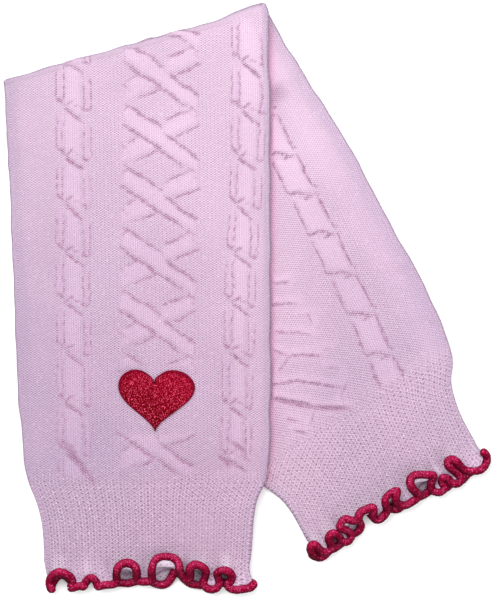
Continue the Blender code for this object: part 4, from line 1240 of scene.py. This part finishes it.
def heart_material():
    """Dark crimson thread, painted lighter towards its top and right, with dark specks and painted highlight specks
    inside, combed square to the border.
    """
    paint = Paint("crimson_embroidery_thread")
    around, _ = paint.knit()
    border = paint.mark("raised")
    satin = paint.scaled(paint.cosine(around, 0.4), 0.5, 0.5)
    specks = paint.noise(0.36, 1.0, (1.2, 0.9, 1.0), 0.8)
    base = paint.layers(
        paint.mix(paint.mark("light"), colour(88, 0, 0), colour(126, 0, 24)),
        (paint.step(specks, 0.48, 0.34), 0.9, (48, 0, 0)),
        # painted highlights: bright specks stand in for the thread's gloss
        (paint.step(specks, 0.585, 0.65), 1.0, (216, 70, 110)),
    )
    edge = paint.mix(satin, colour(80, 0, 18), colour(128, 0, 36))
    base = paint.mix(paint.times(border, 0.8), base, edge)
    paint.bump(paint.scaled(satin, border, specks), 0.1, 0.8)
    return paint.finish(base, paint.scaled(specks, 0.3, 0.45), specular=0.02)


def floor_material():
    """White paper, faintly uneven."""
    paint = Paint("white_floor")
    grain = paint.noise(60.0, 2.0)
    base = paint.mix(grain, (0.93, 0.93, 0.93, 1), (0.95, 0.95, 0.95, 1))
    return paint.finish(base, 0.9)


# ---- the stage ----
FLOOR_HALF, FLOOR_TOP = 1.5, -5e-5  # metres
FRAME_CENTRE = (-0.95, -0.62)  # what the photo shows, in millimetres
FRAME_HEIGHT = 180.6
DAYLIGHT = 0.76
LENS, SENSOR = 200.0, 36.0


def make_floor():
    """A white floor just under the part."""
    mesh = bpy.data.meshes.new("floor")
    corners = [(x * FLOOR_HALF, y * FLOOR_HALF, FLOOR_TOP) for x, y in ((-1, -1), (1, -1), (1, 1), (-1, 1))]
    mesh.from_pydata(corners, [], [(0, 1, 2, 3)])
    mesh.materials.append(floor_material())
    made = put("floor", mesh)


def make_light(name, place, size, power):
    """A square soft light, aimed at the middle of the part."""
    data = bpy.data.lights.new(name, "AREA")
    data.size, data.energy = size, power
    made = put(name, data)
    made.location = place
    made.rotation_euler = (-Vector(place)).to_track_quat("-Z", "Y").to_euler()


def make_camera():
    """A long lens straight above the part."""
    data = bpy.data.cameras.new("camera")
    data.lens, data.sensor_width = LENS, SENSOR
    data.clip_start, data.clip_end = 0.01, 20.0
    made = put("camera", data)
    made.location = (FRAME_CENTRE[0] * MM, FRAME_CENTRE[1] * MM, (FRAME_HEIGHT * LENS / SENSOR + LEG_HEIGHT) * MM)
    bpy.context.scene.camera = made


def make_stage():
    """The floor, the lights and the camera."""
    make_floor()
    world = bpy.data.worlds.new("studio")
    world.use_nodes = True
    background = world.node_tree.nodes["Background"]
    background.inputs[0].default_value = (1.0, 0.99, 1.0, 1.0)
    background.inputs[1].default_value = DAYLIGHT
    bpy.context.scene.world = world
    make_light("key", (-0.35, 0.45, 0.9), 0.8, 11.0)
    make_light("fill", (0.5, -0.3, 0.9), 1.0, 6.2)
    make_camera()
    bpy.context.scene.view_settings.view_transform = "Standard"


# ---- assembly ----
def build():
    """The stage and the six pieces."""
    make_stage()
    cuff_knit, overlock = knit_material("pink_cuff_knit"), edging_material()
    body = make_body(knit_material("pink_cable_knit"))
    heart = make_heart(heart_material())
    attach(body, "root")
    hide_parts("knitted_body")
    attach(heart, "root")
    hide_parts("embroidered_heart")
    for leg in (NEAR, FAR):
        cuff = make_cuff(f"{leg.name}_cuff_cloth", leg, cuff_knit)
        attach(cuff, "root")
        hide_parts(f"{leg.name}_cuff")
        edging = make_edging(f"{leg.name}_edging_cord", leg, overlock)
        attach(edging, "root")
        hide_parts(f"{leg.name}_edging")


build()
